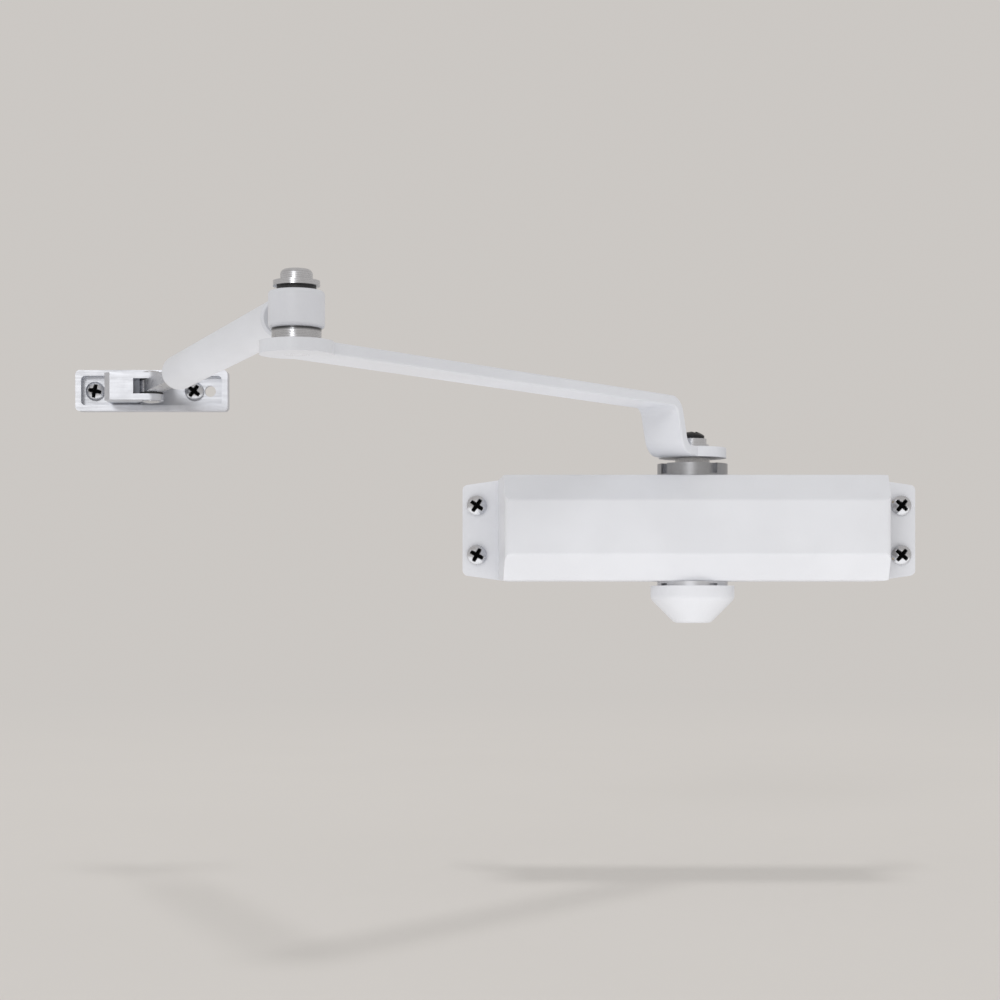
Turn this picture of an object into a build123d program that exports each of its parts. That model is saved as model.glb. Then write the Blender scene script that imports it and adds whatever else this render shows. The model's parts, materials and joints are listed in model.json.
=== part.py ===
from build123d import *
import math
import os

# Surface-mounted door closer with a regular elbow arm, at rest with its piston run out.
# Millimetres. The origin is the centre of the four body screws on the back of the housing,
# +X runs along the housing towards its end plug, +Y out through its back and +Z up the spindle.

# Housing
body_length = 174.0
body_height = 39.4
body_depth = 42.0
front_flat_height = 20.2
bevel_depth = 9.2
lug_length = 13.7
end_inset = 2.6
lug_thickness = 5.5
lug_end_height = 34.4
taper_length = 17.5
long_edge_radius = 1.8
end_edge_radius = 2.1
lug_corner_radius = 2.2
body_hole_inset = 5.5
body_hole_spacing_z = 19.0

# Cylinder bore, blind on the left, and its end plug
spindle_depth = 19.5
bore_diameter = 28.0
blind_wall = 9.3
plug_inset = 4.3
plug_diameter = 29.2
plug_length = 9.0
plug_pin_hole = 3.6
plug_pin_spacing = 16.0
plug_pin_depth = 4.0

# Spindle with its pinion
tooth_count = 12
gear_module = 1.25
pressure_angle = 20.0
pinion_addendum = 1.2
rack_addendum = 0.8
tooth_tip_gap = 0.35
backlash = 0.15
pinion_end_gap = 0.15
journal_diameter = 13.0
spindle_square = 9.0
lower_square_length = 5.0
spindle_tap_depth = 14.0

# Bearing nuts, bushes and shaft seals
nut_thread_diameter = 24.0
nut_bore_gap = 0.4
nut_flange_diameter = 26.4
nut_flange_height = 4.7
nut_notch_width = 3.6
nut_notch_depth = 2.0
nut_notch_floor = 0.8
nut_notch_count = 4
nut_notch_turn = 31.0
bush_wall = 2.2
shaft_seal_height = 2.0
seal_section = 1.9
nut_lip_height = 1.6
nut_lip_gap = 0.3

# Piston, return spring and check valve
arm_swing = 175.0
piston_wall_left = 8.0
piston_wall_right = 12.0
slot_end_gap = 1.2
slot_side_gap = 0.7
land_groove_width = 2.0
land_groove_depth = 0.8
spring_wire = 3.4
spring_diameter = 25.0
spring_active_turns = 3
spring_end_gap = 0.6
spring_samples = 300
check_ball_diameter = 5.0
check_seat_diameter = 3.6
check_ring_thickness = 1.4
check_ring_inset = 0.5
check_pocket_gap = 0.5
check_seat_depth = 4.0
oil_hole_diameter = 4.0

# Speed valves in the end face of the housing
valve_diameter = 4.6
valve_length = 16.0
valve_tip_length = 6.0
valve_tip_diameter = 1.4
valve_recess = 1.2
valve_depth = 7.5
valve_edge = 5.2
valve_slot_width = 0.9
valve_slot_depth = 1.2
duct_diameter = 2.0
valve_ring_section = 0.8
valve_ring_place = 5.6
return_port_inset = 7.0

# Cap over the lower end of the spindle
cap_diameter = 31.5
cap_wall = 1.6
cap_gap = 1.7
cap_height = 14.0
cap_straight = 5.0
cap_flat_diameter = 13.6
cap_shoulder_radius = 3.0

# Main arm
main_arm_length = 220.0
main_arm_angle = 53.35
arm_width = 16.5
arm_thickness = 3.8
arm_rise = 17.4
riser_distance = 19.0
riser_lean = 5.0
bend_radius = 4.0
hub_eye_diameter = 25.4
elbow_eye_diameter = 21.6
arm_edge_radius = 0.7
arm_lift = 2.2

# Fasteners on the spindle end
arm_washer_diameter = 12.4
arm_washer_thickness = 1.3
lock_washer_diameter = 10.6
lock_washer_thickness = 2.2
lock_washer_cut = 1.2
arm_screw_shank = 5.0
arm_screw_head = 9.0
arm_screw_head_height = 2.9
arm_screw_length = 16.0

# Elbow
spacer_diameter = 14.4
spacer_height = 3.6
knuckle_diameter = 16.4
knuckle_height = 10.9
knuckle_edge_radius = 1.2
elbow_pin_diameter = 8.0
elbow_bush_wall = 1.2
friction_washer_diameter = 11.4
friction_washer_height = 1.3
elbow_washer_diameter = 13.6
elbow_washer_height = 1.5
elbow_head_diameter = 9.4
elbow_head_height = 3.4
elbow_head_edge = 1.5

# Forearm
forearm_angle = 22.05
stud_diameter = 8.0
stud_length = 75.0
tube_diameter = 12.4
tube_start = 16.0
tube_end_distance = 40.5
tube_bore_depth = 72.0
tube_mouth_chamfer = 0.8
tongue_width = 7.0
tongue_grip = 13.0
eye_diameter = 9.0

# Shoe
shoe_length = 58.5
shoe_height = 15.7
shoe_offset = -1.55
shoe_bottom = 45.9
shoe_rim_depth = 5.5
shoe_rim_width = 2.2
shoe_floor = 2.2
shoe_corner_radius = 1.6
shoe_screw_spacing = 38.2
shoe_screw_offset = -4.6
shoe_spare_hole_offset = 20.6
pivot_depth = 14.0
block_left = 17.5
block_right = 6.2
block_height = 10.4
block_chamfer = 2.4
ear_thickness = 2.3
ear_diameter = 9.2
shoe_pin_diameter = 4.6
shoe_pin_head_diameter = 7.0
shoe_pin_head_height = 1.0
shoe_washer_thickness = 0.6
tongue_offset = 0.4

# Wood screws
body_screw_head = 7.6
body_screw_head_height = 2.7
body_screw_neck = 5.1
body_screw_thread = 4.6
body_screw_reach = 22.0
body_screw_turns = (28.0, 35.0, 40.0, 42.0)
shoe_screw_head = 7.2
shoe_screw_head_height = 2.3
shoe_screw_neck = 4.2
shoe_screw_thread = 3.8
shoe_screw_reach = 18.0
shoe_screw_turns = (12.0, 38.0)
screw_point_length = 4.0
screw_point_diameter = 0.8
cross_width = 1.5
cross_span_share = 0.68
cross_depth = 1.5
head_rim_share = 0.4

# Clearances, and how far a cut runs past a face
running_gap = 0.05
seat_gap = 0.05
thread_gap = 0.05
ring_gap = 0.04
past = 1.0

# Places worked out from the driving dimensions
half_height = body_height / 2
body_end = body_length / 2
straight_end = body_end - taper_length
raised_end = body_end - lug_length
front_end = raised_end - end_inset
body_hole_x = body_end - body_hole_inset
bore_radius = bore_diameter / 2
chamber_left = raised_end - blind_wall
chamber_right = raised_end - plug_inset - plug_length
pitch_radius = gear_module * tooth_count / 2
tooth_pitch = math.pi * gear_module
piston_travel = pitch_radius * math.radians(arm_swing)
nut_top = half_height + nut_flange_height
nut_bottom = bore_radius + nut_bore_gap
seal_top = nut_top - nut_lip_height - ring_gap
seal_bottom = seal_top - shaft_seal_height
bush_top = seal_bottom - ring_gap
valve_height = half_height - valve_edge
pinion_face = 2 * (nut_bottom - pinion_end_gap)
arm_hub_bottom = nut_top + arm_lift
arm_hub_top = arm_hub_bottom + arm_thickness
arm_bottom = arm_hub_bottom + arm_rise
arm_top = arm_bottom + arm_thickness
riser_slope = riser_lean / arm_rise
riser_width = arm_thickness * math.hypot(1, riser_slope)
spacer_top = arm_top + spacer_height
knuckle_bottom = spacer_top + seat_gap
knuckle_top = knuckle_bottom + knuckle_height
friction_top = knuckle_top + seat_gap + friction_washer_height
elbow_washer_top = friction_top + elbow_washer_height
forearm_height = knuckle_bottom + knuckle_height / 2
spindle_place = Pos(0, -spindle_depth, 0)
arm_place = spindle_place * Rot(0, 0, 180 + main_arm_angle)
elbow_x = -main_arm_length * math.cos(math.radians(main_arm_angle))
elbow_y = -spindle_depth - main_arm_length * math.sin(math.radians(main_arm_angle))
forearm_place = Pos(elbow_x, elbow_y, 0) * Rot(0, 0, 90 + forearm_angle)
forearm_length = -(elbow_y + pivot_depth) / math.cos(math.radians(forearm_angle))
pivot_x = elbow_x - forearm_length * math.sin(math.radians(forearm_angle))
pivot_y = -pivot_depth
shoe_middle = shoe_bottom + shoe_height / 2
end_draft = end_inset / (body_depth - lug_thickness)
valve_out = raised_end - end_draft * (valve_depth - lug_thickness) - valve_recess
valve_in = valve_out - valve_length
valve_tip = valve_in - valve_tip_length
return_port = return_port_inset - chamber_left
slot_left = -(pitch_radius + pinion_addendum + slot_end_gap)
slot_right = piston_travel - slot_left
piston_left = slot_left - piston_wall_left
piston_right = slot_right + piston_wall_right
check_pocket_diameter = check_ball_diameter + 2 * check_pocket_gap
check_seat_face = slot_right + check_seat_depth
check_ring_outer = piston_right - check_ring_inset
journal_bore = journal_diameter + 2 * running_gap
bush_diameter = journal_bore + 2 * bush_wall
lock_washer_bottom = arm_hub_top + arm_washer_thickness
lock_washer_top = lock_washer_bottom + lock_washer_thickness
elbow_bore = elbow_pin_diameter + 2 * running_gap
tube_tip = forearm_length - tube_end_distance
tongue_middle = shoe_middle + tongue_offset
forearm_fall = math.degrees(math.atan2(forearm_height - tongue_middle, forearm_length))
stud_place = forearm_place * Pos(0, 0, forearm_height) * Rot(0, forearm_fall, 0)
ear_gap = block_height - 2 * ear_thickness
tongue_thickness = ear_gap - 2 * shoe_washer_thickness - 4 * seat_gap
block_low = tongue_middle - block_height / 2
block_high = tongue_middle + block_height / 2

os.makedirs("parts", exist_ok=True)


def save(name, *solids):
    """Write one sub-part, or a group of like solids, under its node name."""
    shape = solids[0] if len(solids) == 1 else Compound(children=list(solids))
    export_step(shape, f"parts/{name}.step")


def rod_z(diameter, bottom, top, x=0.0, y=0.0):
    """An upright cylinder between two heights."""
    solid = Cylinder(diameter / 2, top - bottom, align=(Align.CENTER, Align.CENTER, Align.MIN))
    return Pos(x, y, bottom) * solid


def rod_x(diameter, start, end, y=0.0, z=0.0):
    """A cylinder along X between two stations."""
    solid = Cylinder(diameter / 2, end - start, align=(Align.CENTER, Align.CENTER, Align.MIN))
    return Pos(start, y, z) * Rot(0, 90, 0) * solid


def rod_y(diameter, start, end, x=0.0, z=0.0):
    """A cylinder along Y between two depths."""
    solid = Cylinder(diameter / 2, end - start, align=(Align.CENTER, Align.CENTER, Align.MIN))
    return Pos(x, start, z) * Rot(-90, 0, 0) * solid


def ring_z(outer, inner, bottom, top):
    """An upright sleeve between two heights."""
    return rod_z(outer, bottom, top) - rod_z(inner, bottom - past, top + past)


def block(x0, x1, y0, y1, z0, z1):
    """A box between two corners."""
    size = Box(x1 - x0, y1 - y0, z1 - z0, align=(Align.MIN, Align.MIN, Align.MIN))
    return Pos(x0, y0, z0) * size


def turned(points):
    """A solid of revolution about Z from (radius, height) corners."""
    face = make_face(Polyline(*points, close=True))
    return revolve(Plane.XZ * face, axis=Axis.Z)


def round_ring(centre_diameter, section, place):
    """A sealing ring of round section about the local Z axis."""
    return place * Torus(centre_diameter / 2, section / 2)


def corners_at(face, places):
    """The corners of a sketch that stand at the given points."""
    return [face.vertices().sort_by_distance((x, y, 0))[0] for x, y in places]


def outline_face():
    """Front outline of the housing: straight sides that draw in towards the lugs."""
    end = lug_end_height / 2
    corners = [
        (-body_end, -end),
        (-straight_end, -half_height),
        (straight_end, -half_height),
        (body_end, -end),
        (body_end, end),
        (straight_end, half_height),
        (-straight_end, half_height),
        (-body_end, end),
    ]
    return make_face(Polyline(*corners, close=True))


def housing_block():
    """Outer form: a bevelled bar with drafted ends standing on a thin lug plate."""
    shoulder = body_depth - bevel_depth
    flat = front_flat_height / 2
    section = make_face(
        Polyline(
            (0, -half_height),
            (-shoulder, -half_height),
            (-body_depth, -flat),
            (-body_depth, flat),
            (-shoulder, half_height),
            (0, half_height),
            close=True,
        )
    )
    long_corners = [v for v in section.vertices() if v.X < -lug_thickness]
    section = fillet(long_corners, long_edge_radius)
    plan = make_face(
        Polyline(
            (-raised_end, 0),
            (-raised_end, -lug_thickness),
            (-front_end, -body_depth),
            (front_end, -body_depth),
            (raised_end, -lug_thickness),
            (raised_end, 0),
            close=True,
        )
    )
    front_corners = [v for v in plan.vertices() if v.Y < -shoulder]
    plan = fillet(front_corners, end_edge_radius)
    bar = extrude(Plane.YZ * section, amount=body_end, both=True)
    bar = bar & extrude(plan, amount=body_height, both=True)
    bar = bar & extrude(Plane.XZ * outline_face(), amount=body_depth + past)
    lug_face = outline_face()
    lug_corners = [v for v in lug_face.vertices() if abs(v.X) > straight_end + past]
    lugs = extrude(Plane.XZ * fillet(lug_corners, lug_corner_radius), amount=lug_thickness)
    return bar + lugs


def body_screw_places():
    """Centres of the four body screws on the back plane."""
    return [
        (sx * body_hole_x, sz * body_hole_spacing_z / 2)
        for sx in (-1, 1)
        for sz in (-1, 1)
    ]


def valve_sides():
    """The two speed valves stand above and below the bore."""
    return (("closing", 1), ("latching", -1))


def valve_duct_cuts(side):
    """Valve bore, return duct and the two cross ports that reach the cylinder bore."""
    z = side * valve_height
    mouth = raised_end + past
    cuts = rod_x(valve_diameter + 2 * running_gap, valve_tip, mouth, -valve_depth, z)
    cuts = cuts + rod_x(duct_diameter, return_port, valve_tip + past, -valve_depth, z)
    away = math.degrees(math.atan2(z, spindle_depth - valve_depth))
    reach = math.hypot(z, spindle_depth - valve_depth)
    port = rod_z(duct_diameter, 0, reach)
    for station in (return_port, (valve_tip + valve_in) / 2):
        cuts = cuts + Pos(station, -spindle_depth, 0) * Rot(-90 + away, 0, 0) * port
    return cuts


def make_body():
    """Die-cast housing with its bore, spindle bosses, valve bores and screw holes."""
    body = housing_block()
    body = body - rod_x(bore_diameter, -chamber_left, chamber_right + past, -spindle_depth)
    plug_bore = plug_diameter + 2 * thread_gap
    body = body - rod_x(plug_bore, chamber_right, raised_end, -spindle_depth)
    reach = half_height + past
    body = body - spindle_place * rod_z(nut_thread_diameter + 2 * thread_gap, -reach, reach)
    for _, side in valve_sides():
        body = body - valve_duct_cuts(side)
    for x, z in body_screw_places():
        body = body - rod_y(body_screw_neck + 2 * running_gap, -lug_thickness - past, past, x, z)
    return body


def make_plug():
    """Threaded end plug with two holes for a pin spanner and a ring groove."""
    inner = chamber_right
    outer = chamber_right + plug_length
    plug = rod_x(plug_diameter, inner, outer)
    for side in (-1, 1):
        place = side * plug_pin_spacing / 2
        plug = plug - rod_x(plug_pin_hole, outer - plug_pin_depth, outer + past, 0, place)
    groove_end = inner + 2 * (seal_section + ring_gap)
    groove = rod_x(plug_diameter + past, inner + seal_section, groove_end)
    groove = groove - rod_x(plug_diameter - 2 * (seal_section + ring_gap), inner, outer)
    return spindle_place * (plug - groove)


def make_plug_ring():
    """Sealing ring in the groove of the end plug."""
    station = chamber_right + 1.5 * seal_section + ring_gap
    centre = plug_diameter - seal_section
    return round_ring(centre, seal_section, Pos(station, -spindle_depth, 0) * Rot(0, 90, 0))


def involute_angle(radius):
    """Half angle of a pinion tooth at a radius, for involute flanks."""
    base = pitch_radius * math.cos(math.radians(pressure_angle))
    lean = math.acos(min(1.0, base / radius))
    at_pitch = math.tan(math.radians(pressure_angle)) - math.radians(pressure_angle)
    half = (tooth_pitch / 2 - backlash) / 2 / pitch_radius
    return half + at_pitch - (math.tan(lean) - lean)


def pinion_tooth():
    """One tooth pointing along -Y: radial root, involute flank, round tip."""
    base = pitch_radius * math.cos(math.radians(pressure_angle))
    tip = pitch_radius + pinion_addendum
    middle = (base + tip) / 2

    def at(radius, side):
        angle = -math.pi / 2 + side * involute_angle(radius)
        return (radius * math.cos(angle), radius * math.sin(angle))

    def inner(side):
        angle = -math.pi / 2 + side * involute_angle(base)
        return (base / 2 * math.cos(angle), base / 2 * math.sin(angle))

    outline = [
        Line(inner(-1), at(base, -1)),
        ThreePointArc(at(base, -1), at(middle, -1), at(tip, -1)),
        ThreePointArc(at(tip, -1), (0, -tip), at(tip, 1)),
        ThreePointArc(at(tip, 1), at(middle, 1), at(base, 1)),
        Line(at(base, 1), inner(1)),
        Line(inner(1), inner(-1)),
    ]
    return extrude(make_face(Wire(outline)), amount=pinion_face / 2, both=True)


def make_spindle():
    """Pinion shaft with a square at each end and a tapped hole for the arm screw."""
    root = 2 * (pitch_radius - rack_addendum - tooth_tip_gap)
    shaft = rod_z(root, -pinion_face / 2, pinion_face / 2)
    tooth = pinion_tooth()
    teeth = [Rot(0, 0, 360 / tooth_count * i) * tooth for i in range(tooth_count)]
    shaft = shaft + teeth
    shaft = shaft + rod_z(journal_diameter, -arm_hub_bottom, arm_hub_bottom)
    half = spindle_square / 2
    low = -arm_hub_bottom - lower_square_length
    for bottom, top in ((low, -arm_hub_bottom), (arm_hub_bottom, arm_hub_top - seat_gap)):
        shaft = shaft + Rot(0, 0, main_arm_angle) * block(-half, half, -half, half, bottom, top)
    tap_bottom = arm_hub_top - spindle_tap_depth
    tap = rod_z(arm_screw_shank + 2 * thread_gap, tap_bottom, arm_hub_top + past)
    return spindle_place * (shaft - tap)


def make_nut():
    """Upper bearing nut: threaded skirt, notched flange, bush seat and seal seat."""
    nut = rod_z(nut_thread_diameter, nut_bottom, half_height)
    nut = nut + rod_z(nut_flange_diameter, half_height, nut_top)
    seal_floor = nut_top - nut_lip_height
    nut = nut - rod_z(bush_diameter + 2 * ring_gap, nut_bottom - past, seal_floor)
    nut = nut - rod_z(journal_diameter + 2 * nut_lip_gap, nut_bottom, nut_top + past)
    notch = block(
        nut_flange_diameter / 2 - nut_notch_depth,
        nut_flange_diameter,
        -nut_notch_width / 2,
        nut_notch_width / 2,
        half_height + nut_notch_floor,
        nut_top + past,
    )
    for i in range(nut_notch_count):
        nut = nut - Rot(0, 0, nut_notch_turn - 90 + 360 / nut_notch_count * i) * notch
    return nut


def make_bush():
    """Bearing bush pressed into a nut, running on the spindle journal."""
    return ring_z(bush_diameter, journal_bore, nut_bottom, bush_top)


def make_shaft_seal():
    """Square-section lip seal between the bush and the lip of a nut."""
    return ring_z(bush_diameter, journal_bore, seal_bottom, seal_top)


def rack_cut():
    """Spaces between the rack teeth, cut into the front wall of the piston slot."""
    depth = pinion_addendum + tooth_tip_gap
    slope = math.tan(math.radians(pressure_angle))
    half_space = tooth_pitch / 4 + backlash / 2
    tip = half_space + rack_addendum * slope
    root = half_space - depth * slope
    space = make_face(
        Polyline(
            (-tip, -pitch_radius + rack_addendum),
            (-root, -pitch_radius - depth),
            (root, -pitch_radius - depth),
            (tip, -pitch_radius + rack_addendum),
            close=True,
        )
    )
    space = extrude(space, amount=bore_radius, both=True)
    first = math.ceil((slot_left + tip) / tooth_pitch)
    last = math.floor((slot_right - tip) / tooth_pitch)
    return [Pos(i * tooth_pitch, 0, 0) * space for i in range(first, last + 1)]


def make_piston():
    """Piston with a through slot, a rack along one wall and the check valve passage."""
    piston = rod_x(bore_diameter - 2 * running_gap, piston_left, piston_right)
    near_wall = -(pitch_radius - rack_addendum)
    far_wall = pitch_radius + pinion_addendum + slot_side_gap
    slot = block(slot_left, slot_right, near_wall, far_wall, -bore_radius, bore_radius)
    piston = piston - slot
    for space in rack_cut():
        piston = piston - space
    piston = piston - rod_x(oil_hole_diameter, piston_left - past, slot_left + past)
    piston = piston - rod_x(check_seat_diameter, slot_right - past, piston_right)
    piston = piston - rod_x(check_pocket_diameter, check_seat_face, piston_right + past)
    for middle in (piston_left + piston_wall_left / 2, piston_right - piston_wall_right / 2):
        start = middle - land_groove_width / 2
        end = middle + land_groove_width / 2
        floor = rod_x(bore_diameter - 2 * land_groove_depth, start, end)
        piston = piston - (rod_x(bore_diameter, start, end) - floor)
    return spindle_place * piston


def make_check_ball():
    """Steel ball of the check valve, resting near its seat in the piston."""
    stand_off = math.sqrt(check_ball_diameter**2 - check_seat_diameter**2) / 2
    place = check_seat_face + stand_off + ring_gap
    return Pos(place, -spindle_depth, 0) * Sphere(check_ball_diameter / 2)


def make_check_ring():
    """Ring that keeps the check ball in its pocket."""
    start = check_ring_outer - check_ring_thickness
    ring = rod_x(check_pocket_diameter - 2 * ring_gap, start, check_ring_outer)
    hole = rod_x(check_seat_diameter, start - past, check_ring_outer + past)
    return spindle_place * (ring - hole)


def helix_point(turn_radius, angle, rise):
    """A point of a right-hand coil about X, at an angle in radians and a station."""
    return Vector(rise, turn_radius * math.cos(angle), turn_radius * math.sin(angle))


def biarc(start, start_dir, end, end_dir):
    """Two tangent arcs from one point and direction to another."""
    chord = end - start
    both = start_dir + end_dir
    spread = 2 * (1 - start_dir.dot(end_dir))
    along = chord.dot(both)
    reach = (-along + math.sqrt(along * along + spread * chord.dot(chord))) / spread
    middle = (start + start_dir * reach + end - end_dir * reach) * 0.5
    first = TangentArc(start, middle, tangent=start_dir)
    second = TangentArc(middle, end, tangent=first % 1)
    return [first, second]


def make_spring():
    """Return spring: open coil between closed end turns, swept on biarcs of a quarter turn."""
    coil = spring_diameter / 2 - spring_wire / 2
    start = -chamber_left + seat_gap + spring_wire / 2
    end = piston_left - seat_gap - spring_wire / 2
    closed = spring_wire + spring_end_gap
    pitch = (end - start - 2 * closed) / spring_active_turns
    turns = spring_active_turns + 2

    def rise(turn):
        lead = min(turn, 1) * closed
        active = min(max(turn - 1, 0), spring_active_turns) * pitch
        return start + lead + active + max(turn - 1 - spring_active_turns, 0) * closed

    points = []
    ways = []
    steps = 4 * turns
    for q in range(steps + 1):
        angle = math.pi / 2 * q
        points.append(helix_point(coil, angle, rise(q / 4)))
        climb = (rise((q + 1) / 4) - rise((q - 1) / 4)) / math.pi
        ways.append(Vector(climb, -coil * math.sin(angle), coil * math.cos(angle)).normalized())
    arcs = []
    for i in range(steps):
        arcs.extend(biarc(points[i], ways[i], points[i + 1], ways[i + 1]))
    path = Wire(arcs)
    section = Plane(origin=points[0], z_dir=ways[0]) * Circle(spring_wire / 2)
    samples = [path @ (i / spring_samples) for i in range(spring_samples + 1)]
    turn_apart = spring_samples // (2 * turns)
    pairs = [(a, b) for a in range(spring_samples + 1) for b in range(a + turn_apart, spring_samples + 1)]
    gap = min((samples[a] - samples[b]).length for a, b in pairs) - spring_wire
    print(f"least gap between spring turns {gap:.2f} mm")
    return spindle_place * sweep(section, path=path)


def make_valve(side):
    """Speed valve: slotted screw with a ring groove and a needle tip."""
    radius = valve_diameter / 2
    top = valve_tip_length + valve_length
    ring_start = valve_tip_length + valve_ring_place
    ring_end = ring_start + valve_ring_section + 2 * ring_gap
    floor = radius - valve_ring_section - ring_gap
    valve = turned(
        [
            (0, 0),
            (valve_tip_diameter / 2, 0),
            (radius, valve_tip_length),
            (radius, ring_start),
            (floor, ring_start),
            (floor, ring_end),
            (radius, ring_end),
            (radius, top),
            (0, top),
        ]
    )
    half = valve_slot_width / 2
    slot = block(-valve_diameter, valve_diameter, -half, half, top - valve_slot_depth, top + past)
    return Pos(valve_tip, -valve_depth, side * valve_height) * Rot(0, 90, 0) * (valve - slot)


def make_valve_ring(side):
    """Sealing ring in the groove of a speed valve."""
    station = valve_in + valve_ring_place + valve_ring_section / 2 + ring_gap
    centre = valve_diameter - valve_ring_section
    place = Pos(station, -valve_depth, side * valve_height) * Rot(0, 90, 0)
    return round_ring(centre, valve_ring_section, place)


def make_cap():
    """Bell-shaped cap that snaps over the flange of the lower bearing nut."""
    top = -half_height - cap_gap
    bottom = top - cap_height
    outer = cap_diameter / 2
    flat = cap_flat_diameter / 2
    inner = nut_flange_diameter / 2 + ring_gap
    shoulder = top - cap_straight
    corners = [(0, top), (outer, top), (outer, shoulder), (flat, bottom), (0, bottom)]
    skin = make_face(Polyline(*corners, close=True))
    bell_corners = corners_at(skin, corners[2:4])
    skin = fillet(bell_corners, cap_shoulder_radius)
    bell = revolve(Plane.XZ * skin, axis=Axis.Z)
    hollow = turned(
        [
            (0, top + past),
            (inner, top + past),
            (inner, shoulder),
            (flat - cap_wall / 2, bottom + cap_wall),
            (0, bottom + cap_wall),
        ]
    )
    return spindle_place * (bell - hollow)


def make_main_arm():
    """Flat steel arm bent into a gooseneck, with a square eye and a pin eye."""
    low = arm_hub_bottom
    start = -hub_eye_diameter / 2
    end = main_arm_length + elbow_eye_diameter / 2
    outside = (riser_distance, low)
    under = (riser_distance + riser_lean, arm_bottom)
    foot = riser_distance - riser_width
    inside = (foot + riser_slope * arm_thickness, arm_hub_top)
    over = (foot + riser_slope * (arm_top - low), arm_top)
    side = make_face(
        Polyline(
            (start, low),
            outside,
            under,
            (end, arm_bottom),
            (end, arm_top),
            over,
            inside,
            (start, arm_hub_top),
            close=True,
        )
    )
    side = fillet(corners_at(side, [under, inside]), bend_radius)
    side = fillet(corners_at(side, [outside, over]), bend_radius + arm_thickness)
    strip = extrude(Plane.XZ * side, amount=hub_eye_diameter, both=True)
    plan = Rectangle(main_arm_length, arm_width, align=(Align.MIN, Align.CENTER))
    plan = plan + Circle(hub_eye_diameter / 2)
    plan = plan + Pos(main_arm_length, 0) * Circle(elbow_eye_diameter / 2)
    arm = strip & extrude(plan, amount=arm_top + past)
    long_edges = [e for e in arm.edges() if e.length > main_arm_length / 2]
    arm = fillet(long_edges, arm_edge_radius)
    half = spindle_square / 2 + ring_gap
    arm = arm - block(-half, half, -half, half, low - past, arm_hub_top + past)
    pin_hole = elbow_pin_diameter + 2 * thread_gap
    arm = arm - rod_z(pin_hole, arm_bottom - past, arm_top + past, main_arm_length)
    return arm_place * arm


def make_arm_washer():
    """Plain washer under the arm screw."""
    hole = arm_screw_shank + 4 * running_gap
    return spindle_place * ring_z(arm_washer_diameter, hole, arm_hub_top, lock_washer_bottom)


def make_lock_washer():
    """Split spring washer between the plain washer and the screw head."""
    hole = arm_screw_shank + 4 * running_gap
    ring = ring_z(lock_washer_diameter, hole, lock_washer_bottom, lock_washer_top)
    half = lock_washer_cut / 2
    low = lock_washer_bottom - past
    gap = block(0, lock_washer_diameter, -half, half, low, lock_washer_top + past)
    return spindle_place * (ring - Rot(0, 0, nut_notch_turn) * gap)


def domed_head(diameter, height):
    """A low domed screw head standing on Z zero: straight rim under a spherical crown."""
    radius = diameter / 2
    rise = height * (1 - head_rim_share)
    ball = (radius**2 + rise**2) / 2 / rise
    crown = Pos(0, 0, height - ball) * Sphere(ball)
    return rod_z(diameter, 0, height) & crown


def cross_recess(diameter, height):
    """Cross-shaped driver recess sunk from the crown of a head."""
    span = diameter * cross_span_share
    floor = height - cross_depth
    bar = block(-span / 2, span / 2, -cross_width / 2, cross_width / 2, floor, height + past)
    return bar + Rot(0, 0, 90) * bar


def make_arm_screw():
    """Cross-head screw that holds the main arm on the spindle square."""
    head = domed_head(arm_screw_head, arm_screw_head_height)
    head = head - cross_recess(arm_screw_head, arm_screw_head_height)
    shank = rod_z(arm_screw_shank, lock_washer_top - arm_screw_length, lock_washer_top)
    return spindle_place * (Pos(0, 0, lock_washer_top) * head + shank)


def at_elbow(solid):
    """Stand a solid on the elbow axis."""
    return Pos(elbow_x, elbow_y, 0) * solid


def make_spacer():
    """Spacer ring between the main arm and the forearm knuckle."""
    return at_elbow(ring_z(spacer_diameter, elbow_bore, arm_top, spacer_top))


def make_knuckle():
    """Forearm knuckle: round hub with a stud that screws into the forearm tube."""
    hub = rod_z(knuckle_diameter, knuckle_bottom, knuckle_top)
    hub = fillet(hub.edges().filter_by(GeomType.CIRCLE), knuckle_edge_radius)
    stud = rod_x(stud_diameter, 0, stud_length)
    stud = chamfer(stud.edges().sort_by(Axis.X)[-1], tube_mouth_chamfer)
    bore = elbow_bore + 2 * (elbow_bush_wall + ring_gap)
    knuckle = at_elbow(hub) + stud_place * stud
    return knuckle - at_elbow(rod_z(bore, knuckle_bottom - past, knuckle_top + past))


def make_elbow_bush():
    """Plastic sleeve between the elbow pin and the knuckle."""
    outer = elbow_bore + 2 * elbow_bush_wall
    return at_elbow(ring_z(outer, elbow_bore, knuckle_bottom, knuckle_top))


def make_friction_washer():
    """Dark washer on top of the knuckle."""
    return at_elbow(ring_z(friction_washer_diameter, elbow_bore, knuckle_top + seat_gap, friction_top))


def make_elbow_washer():
    """Plain washer under the head of the elbow pin."""
    return at_elbow(ring_z(elbow_washer_diameter, elbow_bore, friction_top, elbow_washer_top))


def make_elbow_pin():
    """Shoulder pin with a round-edged head, set into the end of the main arm."""
    head_top = elbow_washer_top + elbow_head_height
    head = rod_z(elbow_head_diameter, elbow_washer_top, head_top)
    head = fillet(head.edges().sort_by(Axis.Z)[-1], elbow_head_edge)
    return at_elbow(head + rod_z(elbow_pin_diameter, arm_bottom, elbow_washer_top))


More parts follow.
